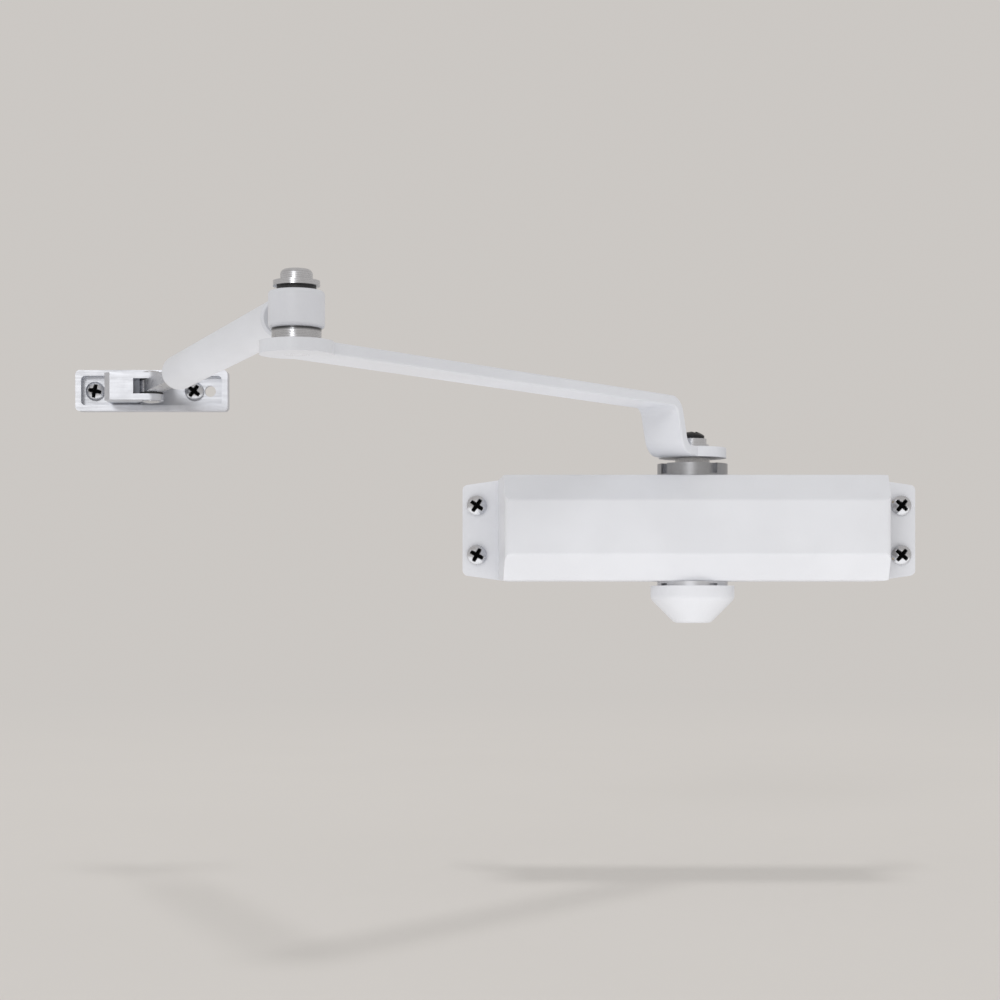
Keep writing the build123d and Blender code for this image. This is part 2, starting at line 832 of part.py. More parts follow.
def make_tube():
    """Forearm tube: bored for the stud at one end, domed and slotted at the other."""
    radius = tube_diameter / 2
    tube = rod_x(tube_diameter, tube_start, tube_tip - radius)
    tube = chamfer(tube.edges().sort_by(Axis.X)[0], tube_mouth_chamfer)
    tube = tube + Pos(tube_tip - radius, 0, 0) * Sphere(radius)
    bore = stud_diameter + 2 * running_gap
    tube = tube - rod_x(bore, tube_start - past, tube_start + tube_bore_depth)
    return stud_place * tube - forearm_place * tongue_bar(ring_gap)


def tongue_bar(extra):
    """Flat bar from the grip inside the tube to the pivot eye, with spare room all round."""
    half = tongue_width / 2 + extra
    thick = tongue_thickness / 2 + extra
    start = tube_tip - tongue_grip - extra
    return block(start, forearm_length, -half, half, tongue_middle - thick, tongue_middle + thick)


def make_rod_end():
    """Flat eye pressed into the domed end of the tube, turning on the shoe pin."""
    low = tongue_middle - tongue_thickness / 2
    high = tongue_middle + tongue_thickness / 2
    eye = rod_z(eye_diameter, low, high, forearm_length)
    hole = rod_z(shoe_pin_diameter + 2 * running_gap, low - past, high + past, forearm_length)
    return forearm_place * (tongue_bar(0) + eye - hole)


def at_shoe(solid):
    """Place a solid drawn from the pivot axis, with its back plane at the shoe's depth."""
    return Pos(pivot_x, pivot_y, 0) * solid


def shoe_screw_stations():
    """Stations of the two shoe screws from the pivot axis."""
    return [shoe_screw_offset + side * shoe_screw_spacing / 2 for side in (-1, 1)]


def make_shoe():
    """Shoe: rimmed tray with two screw holes, a spare hole and a pivot block with two ears."""
    front = pivot_depth - shoe_rim_depth
    floor = pivot_depth - shoe_floor
    centre = Pos(shoe_offset, shoe_middle)
    face = centre * RectangleRounded(shoe_length, shoe_height, shoe_corner_radius)
    inner_length = shoe_length - 2 * shoe_rim_width
    inner_height = shoe_height - 2 * shoe_rim_width
    inner = centre * RectangleRounded(inner_length, inner_height, shoe_corner_radius)
    tray = Pos(0, pivot_depth, 0) * extrude(Plane.XZ * face, amount=shoe_rim_depth)
    tray = tray - Pos(0, floor, 0) * extrude(Plane.XZ * inner, amount=shoe_rim_depth)
    ear = ear_diameter / 2
    boss = block(-block_left, -block_right, -ear, floor, block_low, block_high)
    slanted = boss.edges().filter_by(Axis.Z).sort_by(Axis.X)[:2].sort_by(Axis.Y)[0]
    boss = chamfer(slanted, block_chamfer)
    for bottom in (block_low, block_high - ear_thickness):
        boss = boss + block(-block_right, 0, -ear, ear, bottom, bottom + ear_thickness)
        boss = boss + rod_z(ear_diameter, bottom, bottom + ear_thickness)
    shoe = tray + boss
    shoe = shoe - rod_z(shoe_pin_diameter + 2 * ring_gap, block_low - past, block_high + past)
    hole = rod_y(shoe_screw_neck + 2 * running_gap, front, pivot_depth + past, 0, shoe_middle)
    for x in (*shoe_screw_stations(), shoe_spare_hole_offset):
        shoe = shoe - Pos(x, 0, 0) * hole
    return at_shoe(shoe)


def make_shoe_pin():
    """Rivet through both ears and the eye."""
    pin = rod_z(shoe_pin_diameter, block_low, block_high)
    head = domed_head(shoe_pin_head_diameter, shoe_pin_head_height)
    pin = pin + Pos(0, 0, block_high) * head
    return at_shoe(pin + Pos(0, 0, block_low) * Rot(180, 0, 0) * head)


def make_shoe_washers():
    """Thin washers above and below the eye."""
    hole = shoe_pin_diameter + 2 * running_gap
    low = tongue_middle - ear_gap / 2 + seat_gap
    high = tongue_middle + ear_gap / 2 - seat_gap
    pairs = ((low, low + shoe_washer_thickness), (high - shoe_washer_thickness, high))
    return [at_shoe(ring_z(eye_diameter, hole, bottom, top)) for bottom, top in pairs]


def wood_screw(head, head_height, neck, neck_length, thread, reach):
    """Cross-head wood screw along +Y: head in front, neck in the plate, thread behind it."""
    top = domed_head(head, head_height) - cross_recess(head, head_height)
    screw = Rot(90, 0, 0) * top
    screw = screw + rod_y(neck, 0, neck_length)
    tip = neck_length + reach - screw_point_length
    screw = screw + rod_y(thread, neck_length, tip)
    ends = (thread / 2, screw_point_diameter / 2)
    cone = Cone(*ends, screw_point_length, align=(Align.CENTER, Align.CENTER, Align.MIN))
    return screw + Pos(0, tip, 0) * Rot(-90, 0, 0) * cone


def make_body_screws():
    """Four wood screws through the lugs."""
    screw = wood_screw(
        body_screw_head,
        body_screw_head_height,
        body_screw_neck,
        lug_thickness,
        body_screw_thread,
        body_screw_reach,
    )
    return [
        Pos(x, -lug_thickness, z) * Rot(0, turn, 0) * screw
        for (x, z), turn in zip(body_screw_places(), body_screw_turns)
    ]


def make_shoe_screws():
    """Two wood screws through the shoe tray."""
    screw = wood_screw(
        shoe_screw_head,
        shoe_screw_head_height,
        shoe_screw_neck,
        shoe_floor,
        shoe_screw_thread,
        shoe_screw_reach,
    )
    seat = pivot_depth - shoe_floor
    return [
        at_shoe(Pos(x, seat, shoe_middle) * Rot(0, turn, 0) * screw)
        for x, turn in zip(shoe_screw_stations(), shoe_screw_turns)
    ]


def mirrored(solid):
    """The lower twin of an upper bearing piece."""
    return mirror(solid, about=Plane.XY)


def build():
    """Make and write every sub-part."""
    save("closer_body", make_body())
    save("end_plug", make_plug())
    save("plug_seal", make_plug_ring())
    bearings = (("bearing_nut", make_nut), ("bearing_bush", make_bush), ("shaft_seal", make_shaft_seal))
    for name, maker in bearings:
        save(f"upper_{name}", spindle_place * maker())
        save(f"lower_{name}", spindle_place * mirrored(maker()))
    save("pinion_spindle", make_spindle())
    save("rack_piston", make_piston())
    save("check_ball", make_check_ball())
    save("check_ring", make_check_ring())
    save("return_spring", make_spring())
    for name, side in valve_sides():
        save(f"{name}_valve", make_valve(side))
        save(f"{name}_valve_seal", make_valve_ring(side))
    save("spindle_cap", make_cap())
    save("main_arm", make_main_arm())
    save("arm_washer", make_arm_washer())
    save("arm_lock_washer", make_lock_washer())
    save("arm_screw", make_arm_screw())
    save("elbow_spacer", make_spacer())
    save("elbow_pin", make_elbow_pin())
    save("elbow_friction_washer", make_friction_washer())
    save("elbow_washer", make_elbow_washer())
    save("forearm_knuckle", make_knuckle())
    save("elbow_bush", make_elbow_bush())
    save("forearm_tube", make_tube())
    save("rod_end", make_rod_end())
    save("shoe_plate", make_shoe())
    save("shoe_pin", make_shoe_pin())
    save("shoe_washers", *make_shoe_washers())
    save("body_screws", *make_body_screws())
    save("shoe_screws", *make_shoe_screws())


build()
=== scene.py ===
"""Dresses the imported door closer: paints, plated metals, threads, screw heads, stage and camera."""

import json
import math

import bmesh
import bpy
import numpy as np
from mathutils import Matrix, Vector


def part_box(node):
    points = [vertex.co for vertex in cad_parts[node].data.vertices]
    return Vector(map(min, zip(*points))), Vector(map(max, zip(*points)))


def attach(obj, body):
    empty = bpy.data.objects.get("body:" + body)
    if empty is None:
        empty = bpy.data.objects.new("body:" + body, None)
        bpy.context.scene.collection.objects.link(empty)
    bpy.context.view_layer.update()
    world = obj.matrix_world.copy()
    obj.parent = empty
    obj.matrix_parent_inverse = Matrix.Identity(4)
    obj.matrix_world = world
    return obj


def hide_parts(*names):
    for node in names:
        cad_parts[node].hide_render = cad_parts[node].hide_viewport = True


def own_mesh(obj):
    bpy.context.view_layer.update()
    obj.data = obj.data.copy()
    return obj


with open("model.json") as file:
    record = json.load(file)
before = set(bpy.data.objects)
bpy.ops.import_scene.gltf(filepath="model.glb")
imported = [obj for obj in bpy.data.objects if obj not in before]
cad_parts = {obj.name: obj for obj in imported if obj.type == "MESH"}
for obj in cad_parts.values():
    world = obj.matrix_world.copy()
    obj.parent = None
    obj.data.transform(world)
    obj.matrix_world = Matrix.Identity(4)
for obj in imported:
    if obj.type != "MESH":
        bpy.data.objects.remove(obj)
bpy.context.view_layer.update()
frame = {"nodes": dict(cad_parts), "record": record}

bl_info = {
    "name": "Door Closer Dresser",
    "version": (1, 0, 0),
    "blender": (4, 5, 0),
    "location": "View3D > Sidebar > Closer",
    "description": "Finishes, screw detail and studio stage for a surface-mounted door closer",
    "category": "Object",
}

MM = 0.001
JOINTS = {joint["name"]: joint for joint in frame["record"]["behaviour"]["joints"]}
MOUNTS = {mount["name"]: mount for mount in frame["record"]["mounts"]}
ELBOW = JOINTS["elbow_turn"]["pos_m"]
SPINDLE = JOINTS["spindle_turn"]["pos_m"]
FOREARM_WAY = JOINTS["forearm_length"]["axis"]
ALONG_X = (0.0, math.pi / 2.0, 0.0)
PAINTED_END = 1.0 * MM
BODY_SCREW_TURNS = (-28.0, -35.0, -40.0, -42.0)
SHOE_SCREW_TURNS = (-12.0, -38.0)
ARM_SCREW_TURN = 0.4


def length_property(label, words, default):
    """A size in metres that the sidebar shows with its unit."""
    return bpy.props.FloatProperty(
        name=label, description=words, default=default, min=0.0, unit="LENGTH"
    )


def number_property(label, words, default):
    """A plain number, such as a place, a strength or a share."""
    return bpy.props.FloatProperty(name=label, description=words, default=default)


def colour_property(label, words, default):
    """A linear colour that the sidebar shows as a swatch."""
    return bpy.props.FloatVectorProperty(
        name=label, description=words, default=default, size=3, min=0.0, max=1.0, subtype="COLOR"
    )


class CloserFinishes(bpy.types.PropertyGroup):
    """Colours of the paints, platings and plastics."""

    body_paint: colour_property("Body paint", "Paint of the cast housing", (0.715, 0.725, 0.762))
    arm_paint: colour_property("Arm paint", "Paint of arm and forearm tube", (0.715, 0.73, 0.775))
    knuckle_paint: colour_property("Knuckle paint", "Paint of the knuckle", (0.66, 0.672, 0.715))
    cap_plastic: colour_property("Cap plastic", "Moulded spindle cap", (0.71, 0.72, 0.755))
    zinc: colour_property("Zinc", "Bright zinc plating", (0.62, 0.63, 0.66))
    shoe_zinc: colour_property("Shoe zinc", "Plating of the frame shoe", (0.70, 0.72, 0.77))
    bare_steel: colour_property("Bare steel", "Machined steel", (0.50, 0.50, 0.51))
    black_steel: colour_property("Black steel", "Blackened screw", (0.045, 0.045, 0.048))
    bronze: colour_property("Bronze", "Sintered bearing bush", (0.50, 0.30, 0.12))
    brass: colour_property("Brass", "Turned valve screw", (0.66, 0.48, 0.19))
    rubber: colour_property("Rubber", "Sealing rings", (0.012, 0.012, 0.013))
    bearing_plastic: colour_property("Bearing plastic", "Sleeve and washers", (0.02, 0.02, 0.022))


class CloserDetails(bpy.types.PropertyGroup):
    """Sizes of the detail that is made here."""

    lug: length_property("Lug thickness", "Plate under the heads of the body screws", 5.5 * MM)
    tray_floor: length_property("Tray floor", "Plate under the heads of the shoe screws", 2.2 * MM)
    body_head: length_property("Body screw head", "Head diameter of the body screws", 7.6 * MM)
    body_head_height: length_property("Body head height", "Height of a body screw head", 2.7 * MM)
    body_neck: length_property("Body screw neck", "Plain diameter under the head", 5.1 * MM)
    body_reach: length_property("Body screw reach", "Threaded length behind the housing", 22.0 * MM)
    shoe_head: length_property("Shoe screw head", "Head diameter of the shoe screws", 7.2 * MM)
    shoe_head_height: length_property("Shoe head height", "Height of a shoe screw head", 2.3 * MM)
    shoe_neck: length_property("Shoe screw neck", "Plain diameter under the head", 4.2 * MM)
    shoe_reach: length_property("Shoe screw reach", "Threaded length behind the shoe", 18.0 * MM)
    arm_head: length_property("Arm screw head", "Head diameter of the arm screw", 9.0 * MM)
    arm_head_height: length_property("Arm head height", "Head height of the arm screw", 2.9 * MM)
    arm_shank: length_property("Arm screw shank", "Shank diameter of the arm screw", 5.0 * MM)
    arm_reach: length_property("Arm screw reach", "Shank length of the arm screw", 16.0 * MM)
    wood_pitch: length_property("Wood thread pitch", "Pitch of the wood screw threads", 2.0 * MM)
    wood_point: length_property("Wood screw point", "Tapering end of the wood screws", 4.0 * MM)
    shank_root: length_property("Shank root", "How far a shank reaches up into its head", 0.2 * MM)
    stud_pitch: length_property("Stud thread pitch", "Pitch of the forearm stud", 1.25 * MM)
    stud_depth: length_property("Stud thread depth", "Depth of the stud's thread", 0.70 * MM)
    stud_start: length_property("Stud start", "From the elbow axis to the stud's root", 6.2 * MM)
    stud_length: length_property("Stud length", "From the elbow axis to the stud's end", 75.0 * MM)
    stud_radius: length_property("Stud radius", "Crest radius of the forearm stud", 4.0 * MM)
    knuckle_radius: length_property("Knuckle radius", "Outer radius of the knuckle", 8.2 * MM)
    knuckle_bore: length_property("Knuckle bore", "Bore radius of the knuckle", 5.29 * MM)
    knuckle_edge: length_property("Knuckle edge", "Rounding of the knuckle's rims", 1.2 * MM)
    spring_wire: length_property("Spring wire", "Wire diameter of the return spring", 3.4 * MM)
    spring_end_gap: length_property("Spring end gap", "Gap beside the closed end turns", 0.6 * MM)
    spring_turns: bpy.props.IntProperty(
        name="Spring turns", description="Turns of the coil", default=5, min=3
    )
    cross_width: length_property("Cross width", "Slot width of the cross recesses", 1.5 * MM)
    cross_depth: length_property("Cross depth", "Depth of the cross recesses", 1.5 * MM)


class CloserStage(bpy.types.PropertyGroup):
    """Camera, light and floor."""

    camera_x: number_property("Camera X", "Along the housing, in metres", -0.0726)
    camera_y: number_property("Camera Y", "Out from the back plane, in metres", -0.770)
    camera_z: number_property("Camera Z", "Height, in metres", -0.0268)
    lens: number_property("Lens", "Focal length in millimetres on a 36 mm sensor", 71.6)
    rise: number_property("Rise", "Vertical shift of the frame", 0.10)
    floor_drop: length_property("Floor drop", "Floor below the screw centre", 0.13)
    floor_span: length_property("Floor span", "Radius of the floor", 6.0)
    fade_start: length_property("Fade start", "Radius at which the floor starts to fade", 0.35)
    fade_end: length_property("Fade end", "Radius from which the floor is background", 1.5)
    floor_colour: colour_property("Floor", "Colour of floor and background", (0.60, 0.575, 0.55))
    key_power: number_property("Key", "Strength of the key light", 0.47)
    under_power: number_property("Under", "Power of the low fill", 0.62)
    floor_power: number_property("Floor light", "Strength of the light on the floor alone", 0.53)
    world_power: number_property("World", "Strength all round", 0.82)


def add_node(tree, kind, **settings):
    """A shader node with its plain settings, such as its operation."""
    node = tree.nodes.new(kind)
    for key, value in settings.items():
        setattr(node, key, value)
    return node


def fill(node, **values):
    """Sets input values by name, with underscores for blanks."""
    for key, value in values.items():
        node.inputs[key.replace("_", " ")].default_value = value
    return node


def noise_node(tree, vector, scale, detail=2.0, roughness=0.5):
    """A noise texture on a vector socket; scale is a number or a socket."""
    node = fill(add_node(tree, "ShaderNodeTexNoise"), Detail=detail, Roughness=roughness)
    tree.links.new(vector, node.inputs["Vector"])
    if isinstance(scale, (int, float)):
        node.inputs["Scale"].default_value = scale
    else:
        tree.links.new(scale, node.inputs["Scale"])
    return node.outputs["Fac"]


def math_node(tree, operation, first, second=0.0):
    """One arithmetic step; each side is a number or a socket."""
    node = add_node(tree, "ShaderNodeMath", operation=operation)
    for place, value in enumerate((first, second)):
        if isinstance(value, (int, float)):
            node.inputs[place].default_value = value
        else:
            tree.links.new(value, node.inputs[place])
    return node.outputs[0]


def range_node(tree, value, low, high, to_low, to_high):
    """Maps a socket's value from one span to another, clamped and smooth."""
    node = add_node(tree, "ShaderNodeMapRange", interpolation_type="SMOOTHSTEP")
    tree.links.new(value, node.inputs["Value"])
    spans = {"From Min": low, "From Max": high, "To Min": to_low, "To Max": to_high}
    for name, number in spans.items():
        node.inputs[name].default_value = number
    return node.outputs["Result"]


def blend_colours(tree, factor, first, second):
    """Mixes two colours by a factor socket; each colour is a triple or a socket."""
    node = add_node(tree, "ShaderNodeMix", data_type="RGBA")
    tree.links.new(factor, node.inputs["Factor"])
    for place, colour in ((6, first), (7, second)):
        if isinstance(colour, bpy.types.NodeSocket):
            tree.links.new(colour, node.inputs[place])
        else:
            node.inputs[place].default_value = (*colour, 1.0)
    return node.outputs[2]


def shade(colour, gain):
    """A colour made lighter or darker, held within one."""
    return tuple(min(1.0, channel * gain) for channel in colour)


def new_group(name, inputs, outputs):
    """A shader node group with named sockets; gives the tree and its two end nodes."""
    tree = bpy.data.node_groups.new(name, "ShaderNodeTree")
    for label, kind, default in inputs:
        socket = tree.interface.new_socket(label, in_out="INPUT", socket_type=kind)
        if default is not None:
            socket.default_value = default
    for label, kind in outputs:
        tree.interface.new_socket(label, in_out="OUTPUT", socket_type=kind)
    return tree, tree.nodes.new("NodeGroupInput"), tree.nodes.new("NodeGroupOutput")


def peel_group():
    """Sprayed paint: Height is fine orange peel, Tone a slow cloud, Speck small dull grains."""
    tree, start, end = new_group(
        "sprayed_paint",
        [("Vector", "NodeSocketVector", None), ("Scale", "NodeSocketFloat", 900.0)],
        [("Height", "NodeSocketFloat"), ("Tone", "NodeSocketFloat"), ("Speck", "NodeSocketFloat")],
    )
    vector = start.outputs["Vector"]
    peel = noise_node(tree, vector, start.outputs["Scale"], 2.0)
    grain = noise_node(tree, vector, math_node(tree, "MULTIPLY", start.outputs["Scale"], 3.6), 1.0)
    height = math_node(tree, "ADD", peel, math_node(tree, "MULTIPLY", grain, 0.35))
    slow = math_node(tree, "MULTIPLY", start.outputs["Scale"], 0.035)
    cloud = noise_node(tree, vector, slow, 3.0)
    tree.links.new(height, end.inputs["Height"])
    tree.links.new(range_node(tree, cloud, 0.3, 0.7, 0.0, 1.0), end.inputs["Tone"])
    tree.links.new(range_node(tree, grain, 0.62, 0.74, 0.0, 1.0), end.inputs["Speck"])
    return tree


def brushed_group():
    """Brushed plating: noise drawn out along one axis by the Stretch vector."""
    tree, start, end = new_group(
        "brushed_plating",
        [
            ("Vector", "NodeSocketVector", None),
            ("Stretch", "NodeSocketVector", (40.0, 1500.0, 1500.0)),
        ],
        [("Streak", "NodeSocketFloat"), ("Blotch", "NodeSocketFloat")],
    )
    drawn = add_node(tree, "ShaderNodeVectorMath", operation="MULTIPLY")
    tree.links.new(start.outputs["Vector"], drawn.inputs[0])
    tree.links.new(start.outputs["Stretch"], drawn.inputs[1])
    tree.links.new(noise_node(tree, drawn.outputs["Vector"], 1.0, 4.0, 0.62), end.inputs["Streak"])
    blotch = noise_node(tree, start.outputs["Vector"], 160.0, 4.0, 0.6)
    tree.links.new(range_node(tree, blotch, 0.35, 0.68, 0.0, 1.0), end.inputs["Blotch"])
    return tree


def turned_group():
    """Lathe marks: rings of the distance from the local Z axis, made uneven by noise."""
    tree, start, end = new_group(
        "turned_rings",
        [("Vector", "NodeSocketVector", None), ("Rings", "NodeSocketFloat", 14000.0)],
        [("Ring", "NodeSocketFloat"), ("Blotch", "NodeSocketFloat")],
    )
    parts = add_node(tree, "ShaderNodeSeparateXYZ")
    tree.links.new(start.outputs["Vector"], parts.inputs["Vector"])
    across = [parts.outputs[axis] for axis in ("X", "Y")]
    squares = [math_node(tree, "MULTIPLY", part, part) for part in across]
    radius = math_node(tree, "SQRT", math_node(tree, "ADD", *squares))
    level = math_node(tree, "ADD", radius, parts.outputs["Z"])
    wave = math_node(tree, "SINE", math_node(tree, "MULTIPLY", level, start.outputs["Rings"]))
    blotch = noise_node(tree, start.outputs["Vector"], 420.0, 4.0, 0.6)
    ring = math_node(tree, "ADD", math_node(tree, "MULTIPLY", wave, 0.25), blotch)
    tree.links.new(ring, end.inputs["Ring"])
    tree.links.new(range_node(tree, blotch, 0.35, 0.68, 0.0, 1.0), end.inputs["Blotch"])
    return tree


def dust_group():
    """Settled dust: up-facing surface, broken by noise, as a Mask."""
    tree, start, end = new_group(
        "settled_dust",
        [("Vector", "NodeSocketVector", None), ("Normal", "NodeSocketVector", None)],
        [("Mask", "NodeSocketFloat")],
    )
    parts = add_node(tree, "ShaderNodeSeparateXYZ")
    tree.links.new(start.outputs["Normal"], parts.inputs["Vector"])
    upward = range_node(tree, parts.outputs["Z"], 0.55, 0.95, 0.0, 1.0)
    cloud = noise_node(tree, start.outputs["Vector"], 240.0, 5.0, 0.65)
    broken = range_node(tree, cloud, 0.42, 0.72, 0.0, 1.0)
    tree.links.new(math_node(tree, "MULTIPLY", upward, broken), end.inputs["Mask"])
    return tree


def shared_group(name):
    """One of the four shared effects, built at its first use."""
    makers = {
        "sprayed_paint": peel_group,
        "brushed_plating": brushed_group,
        "turned_rings": turned_group,
        "settled_dust": dust_group,
    }
    return bpy.data.node_groups.get(name) or makers[name]()


def place_group(tree, name, vector, **values):
    """A shared effect placed in a material, on a vector socket and with its own values."""
    node = add_node(tree, "ShaderNodeGroup", node_tree=shared_group(name))
    tree.links.new(vector, node.inputs["Vector"])
    for key, value in values.items():
        node.inputs[key].default_value = value
    return node


def start_material(name):
    """An empty material with its shader; gives material, tree, shader and Object coordinates."""
    material = bpy.data.materials.new(name)
    material.use_nodes = True
    tree = material.node_tree
    shader = tree.nodes["Principled BSDF"]
    coordinates = add_node(tree, "ShaderNodeTexCoord")
    return material, tree, shader, coordinates


def place_along(tree, coordinates, axis):
    """One axis of the Object coordinates as a socket."""
    parts = add_node(tree, "ShaderNodeSeparateXYZ")
    tree.links.new(coordinates.outputs["Object"], parts.inputs["Vector"])
    return parts.outputs[axis]


def add_bump(tree, shader, height, strength, distance):
    """Sends a height socket through a Bump node to the shader's normal."""
    bump = fill(add_node(tree, "ShaderNodeBump"), Strength=strength, Distance=distance)
    tree.links.new(height, bump.inputs["Height"])
    tree.links.new(bump.outputs["Normal"], shader.inputs["Normal"])


def seen_rays(tree):
    """One for camera, glossy and transmission rays, which see the background, else nought."""
    rays = add_node(tree, "ShaderNodeLightPath")
    shown = math_node(tree, "MAXIMUM", rays.outputs["Is Camera Ray"], rays.outputs["Is Glossy Ray"])
    return math_node(tree, "MAXIMUM", shown, rays.outputs["Is Transmission Ray"])


def add_dust(tree, coordinates, colour, amount):
    """Lays a little settled dust over a colour socket."""
    dust = place_group(tree, "settled_dust", coordinates.outputs["Object"])
    tree.links.new(coordinates.outputs["Normal"], dust.inputs["Normal"])
    faint = math_node(tree, "MULTIPLY", dust.outputs["Mask"], amount)
    return blend_colours(tree, faint, colour, (0.62, 0.59, 0.55))


def paint_material(name, colour, roughness, peel_scale):
    """Satin stove paint: orange peel in the normal, clouds in colour and gloss, dull specks."""
    material, tree, shader, coordinates = start_material(name)
    peel = place_group(tree, "sprayed_paint", coordinates.outputs["Object"], Scale=peel_scale)
    tone = blend_colours(tree, peel.outputs["Tone"], shade(colour, 0.965), shade(colour, 1.02))
    speck = math_node(tree, "MULTIPLY", peel.outputs["Speck"], 0.30)
    tinted = blend_colours(tree, speck, tone, shade(colour, 0.88))
    tree.links.new(add_dust(tree, coordinates, tinted, 0.12), shader.inputs["Base Color"])
    gloss = range_node(tree, peel.outputs["Tone"], 0.0, 1.0, roughness - 0.04, roughness + 0.06)
    tree.links.new(gloss, shader.inputs["Roughness"])
    add_bump(tree, shader, peel.outputs["Height"], 0.12, 0.0002)
    return material


def brushed_material(name, colour, roughness, stretch, stain=0.86, shade_plane=None):
    """Plated sheet: drawn-out streaks in gloss and normal, blotches of duller plating in colour.

    Where a shade plane is given, the plating behind that Y, as in the floor of a tray, is
    painted greyer, as painted shade.
    """
    material, tree, shader, coordinates = start_material(name)
    brush = place_group(tree, "brushed_plating", coordinates.outputs["Object"], Stretch=stretch)
    streak = brush.outputs["Streak"]
    streaked = blend_colours(tree, streak, shade(colour, 0.84), shade(colour, 1.14))
    stained = math_node(tree, "MULTIPLY", brush.outputs["Blotch"], 0.5)
    tinted = blend_colours(tree, stained, streaked, shade(colour, stain))
    if shade_plane is not None:
        # Painted shade: the plating behind the plane is darkened, as the shade inside the tray.
        depth = place_along(tree, coordinates, "Y")
        behind = range_node(tree, depth, shade_plane - 0.5 * MM, shade_plane, 0.0, 1.0)
        tinted = blend_colours(tree, behind, tinted, shade(colour, 0.88))
    tree.links.new(add_dust(tree, coordinates, tinted, 0.08), shader.inputs["Base Color"])
    gloss = range_node(tree, streak, 0.25, 0.75, roughness - 0.08, roughness + 0.12)
    tree.links.new(gloss, shader.inputs["Roughness"])
    shader.inputs["Metallic"].default_value = 1.0
    add_bump(tree, shader, streak, 0.10, 0.0001)
    return material


def turned_material(
    name, colour, roughness, centre, turn=(0.0, 0.0, 0.0), rings=14000.0, shaded_gap_top=None, painted=None
):
    """Turned metal: lathe rings about an axis through a centre, with duller blotches.

    Where a shaded gap top is given, the last stretch below that Z is painted dark, as painted
    shade in the gap under the part above. Where a painted pair of height and colour is given, the
    end below that height is sprayed over with that colour.
    """
    material, tree, shader, coordinates = start_material(name)
    place = add_node(tree, "ShaderNodeMapping", vector_type="TEXTURE")
    place.inputs["Location"].default_value = centre
    place.inputs["Rotation"].default_value = turn
    tree.links.new(coordinates.outputs["Object"], place.inputs["Vector"])
    lathe = place_group(tree, "turned_rings", place.outputs["Vector"], Rings=rings)
    tinted = blend_colours(tree, lathe.outputs["Ring"], shade(colour, 0.86), shade(colour, 1.12))
    if shaded_gap_top is not None:
        # Painted shade: a dark band at the top, where the part above shades the gap.
        height = place_along(tree, coordinates, "Z")
        gap_shade = range_node(tree, height, shaded_gap_top - 1.1 * MM, shaded_gap_top - 0.3 * MM, 0.0, 1.0)
        tinted = blend_colours(tree, gap_shade, tinted, shade(colour, 0.16))
    if painted is not None:
        edge, paint = painted
        height = place_along(tree, coordinates, "Z")
        bare = range_node(tree, height, edge, edge + 0.2 * MM, 0.0, 1.0)
        tinted = blend_colours(tree, bare, paint, tinted)
    tree.links.new(add_dust(tree, coordinates, tinted, 0.06), shader.inputs["Base Color"])
    gloss = range_node(tree, lathe.outputs["Ring"], 0.2, 0.8, roughness - 0.06, roughness + 0.10)
    tree.links.new(gloss, shader.inputs["Roughness"])
    shader.inputs["Metallic"].default_value = 1.0
    if painted is not None:
        tree.links.new(bare, shader.inputs["Metallic"])
    add_bump(tree, shader, lathe.outputs["Ring"], 0.12, 0.0001)
    return material


def moulded_material(name, colour, roughness, peel_scale):
    """Moulded plastic or rubber: grain in normal and gloss, faint flow clouds in the colour."""
    material, tree, shader, coordinates = start_material(name)
    peel = place_group(tree, "sprayed_paint", coordinates.outputs["Object"], Scale=peel_scale)
    tone = blend_colours(tree, peel.outputs["Tone"], shade(colour, 0.96), shade(colour, 1.03))
    tree.links.new(add_dust(tree, coordinates, tone, 0.10), shader.inputs["Base Color"])
    gloss = range_node(tree, peel.outputs["Height"], 0.4, 0.9, roughness - 0.06, roughness + 0.08)
    tree.links.new(gloss, shader.inputs["Roughness"])
    add_bump(tree, shader, peel.outputs["Height"], 0.16, 0.0002)
    return material


def recessed_material(name, colour, roughness):
    """Plated screw: its recess attribute paints near-black shade into driver slot and thread roots.
    """
    material, tree, shader, coordinates = start_material(name)
    brush = place_group(
        tree, "brushed_plating", coordinates.outputs["Object"], Stretch=(900.0, 900.0, 900.0)
    )
    deep = add_node(tree, "ShaderNodeAttribute", attribute_name="recess")
    plated = blend_colours(tree, brush.outputs["Streak"], shade(colour, 0.82), shade(colour, 1.15))
    # Painted shade: near black where the recesses are.
    dark = shade(colour, 0.012)
    tinted = blend_colours(tree, deep.outputs["Fac"], plated, dark)
    tree.links.new(tinted, shader.inputs["Base Color"])
    worn = range_node(tree, brush.outputs["Streak"], 0.2, 0.8, roughness - 0.08, roughness + 0.10)
    dull = math_node(tree, "MAXIMUM", worn, math_node(tree, "MULTIPLY", deep.outputs["Fac"], 0.85))
    tree.links.new(dull, shader.inputs["Roughness"])
    shader.inputs["Metallic"].default_value = 1.0
    add_bump(tree, shader, brush.outputs["Streak"], 0.10, 0.0001)
    return material


def paint_nodes(material, *names):
    """Gives a material to every slot of the named CAD nodes."""
    for name in names:
        for place in frame["nodes"][name].material_slots:
            place.material = material


def grid_faces(rows, columns, wrap):
    """Quads of a grid of points, row by row; wrap joins the last column to the first."""
    row = np.arange(rows - 1)[:, None]
    column = np.arange(columns if wrap else columns - 1)[None, :]
    after = (column + 1) % columns
    corners = [row * columns + column, row * columns + after]
    corners += [(row + 1) * columns + after, (row + 1) * columns + column]
    return np.stack(np.broadcast_arrays(*corners), axis=-1).reshape(-1, 4)


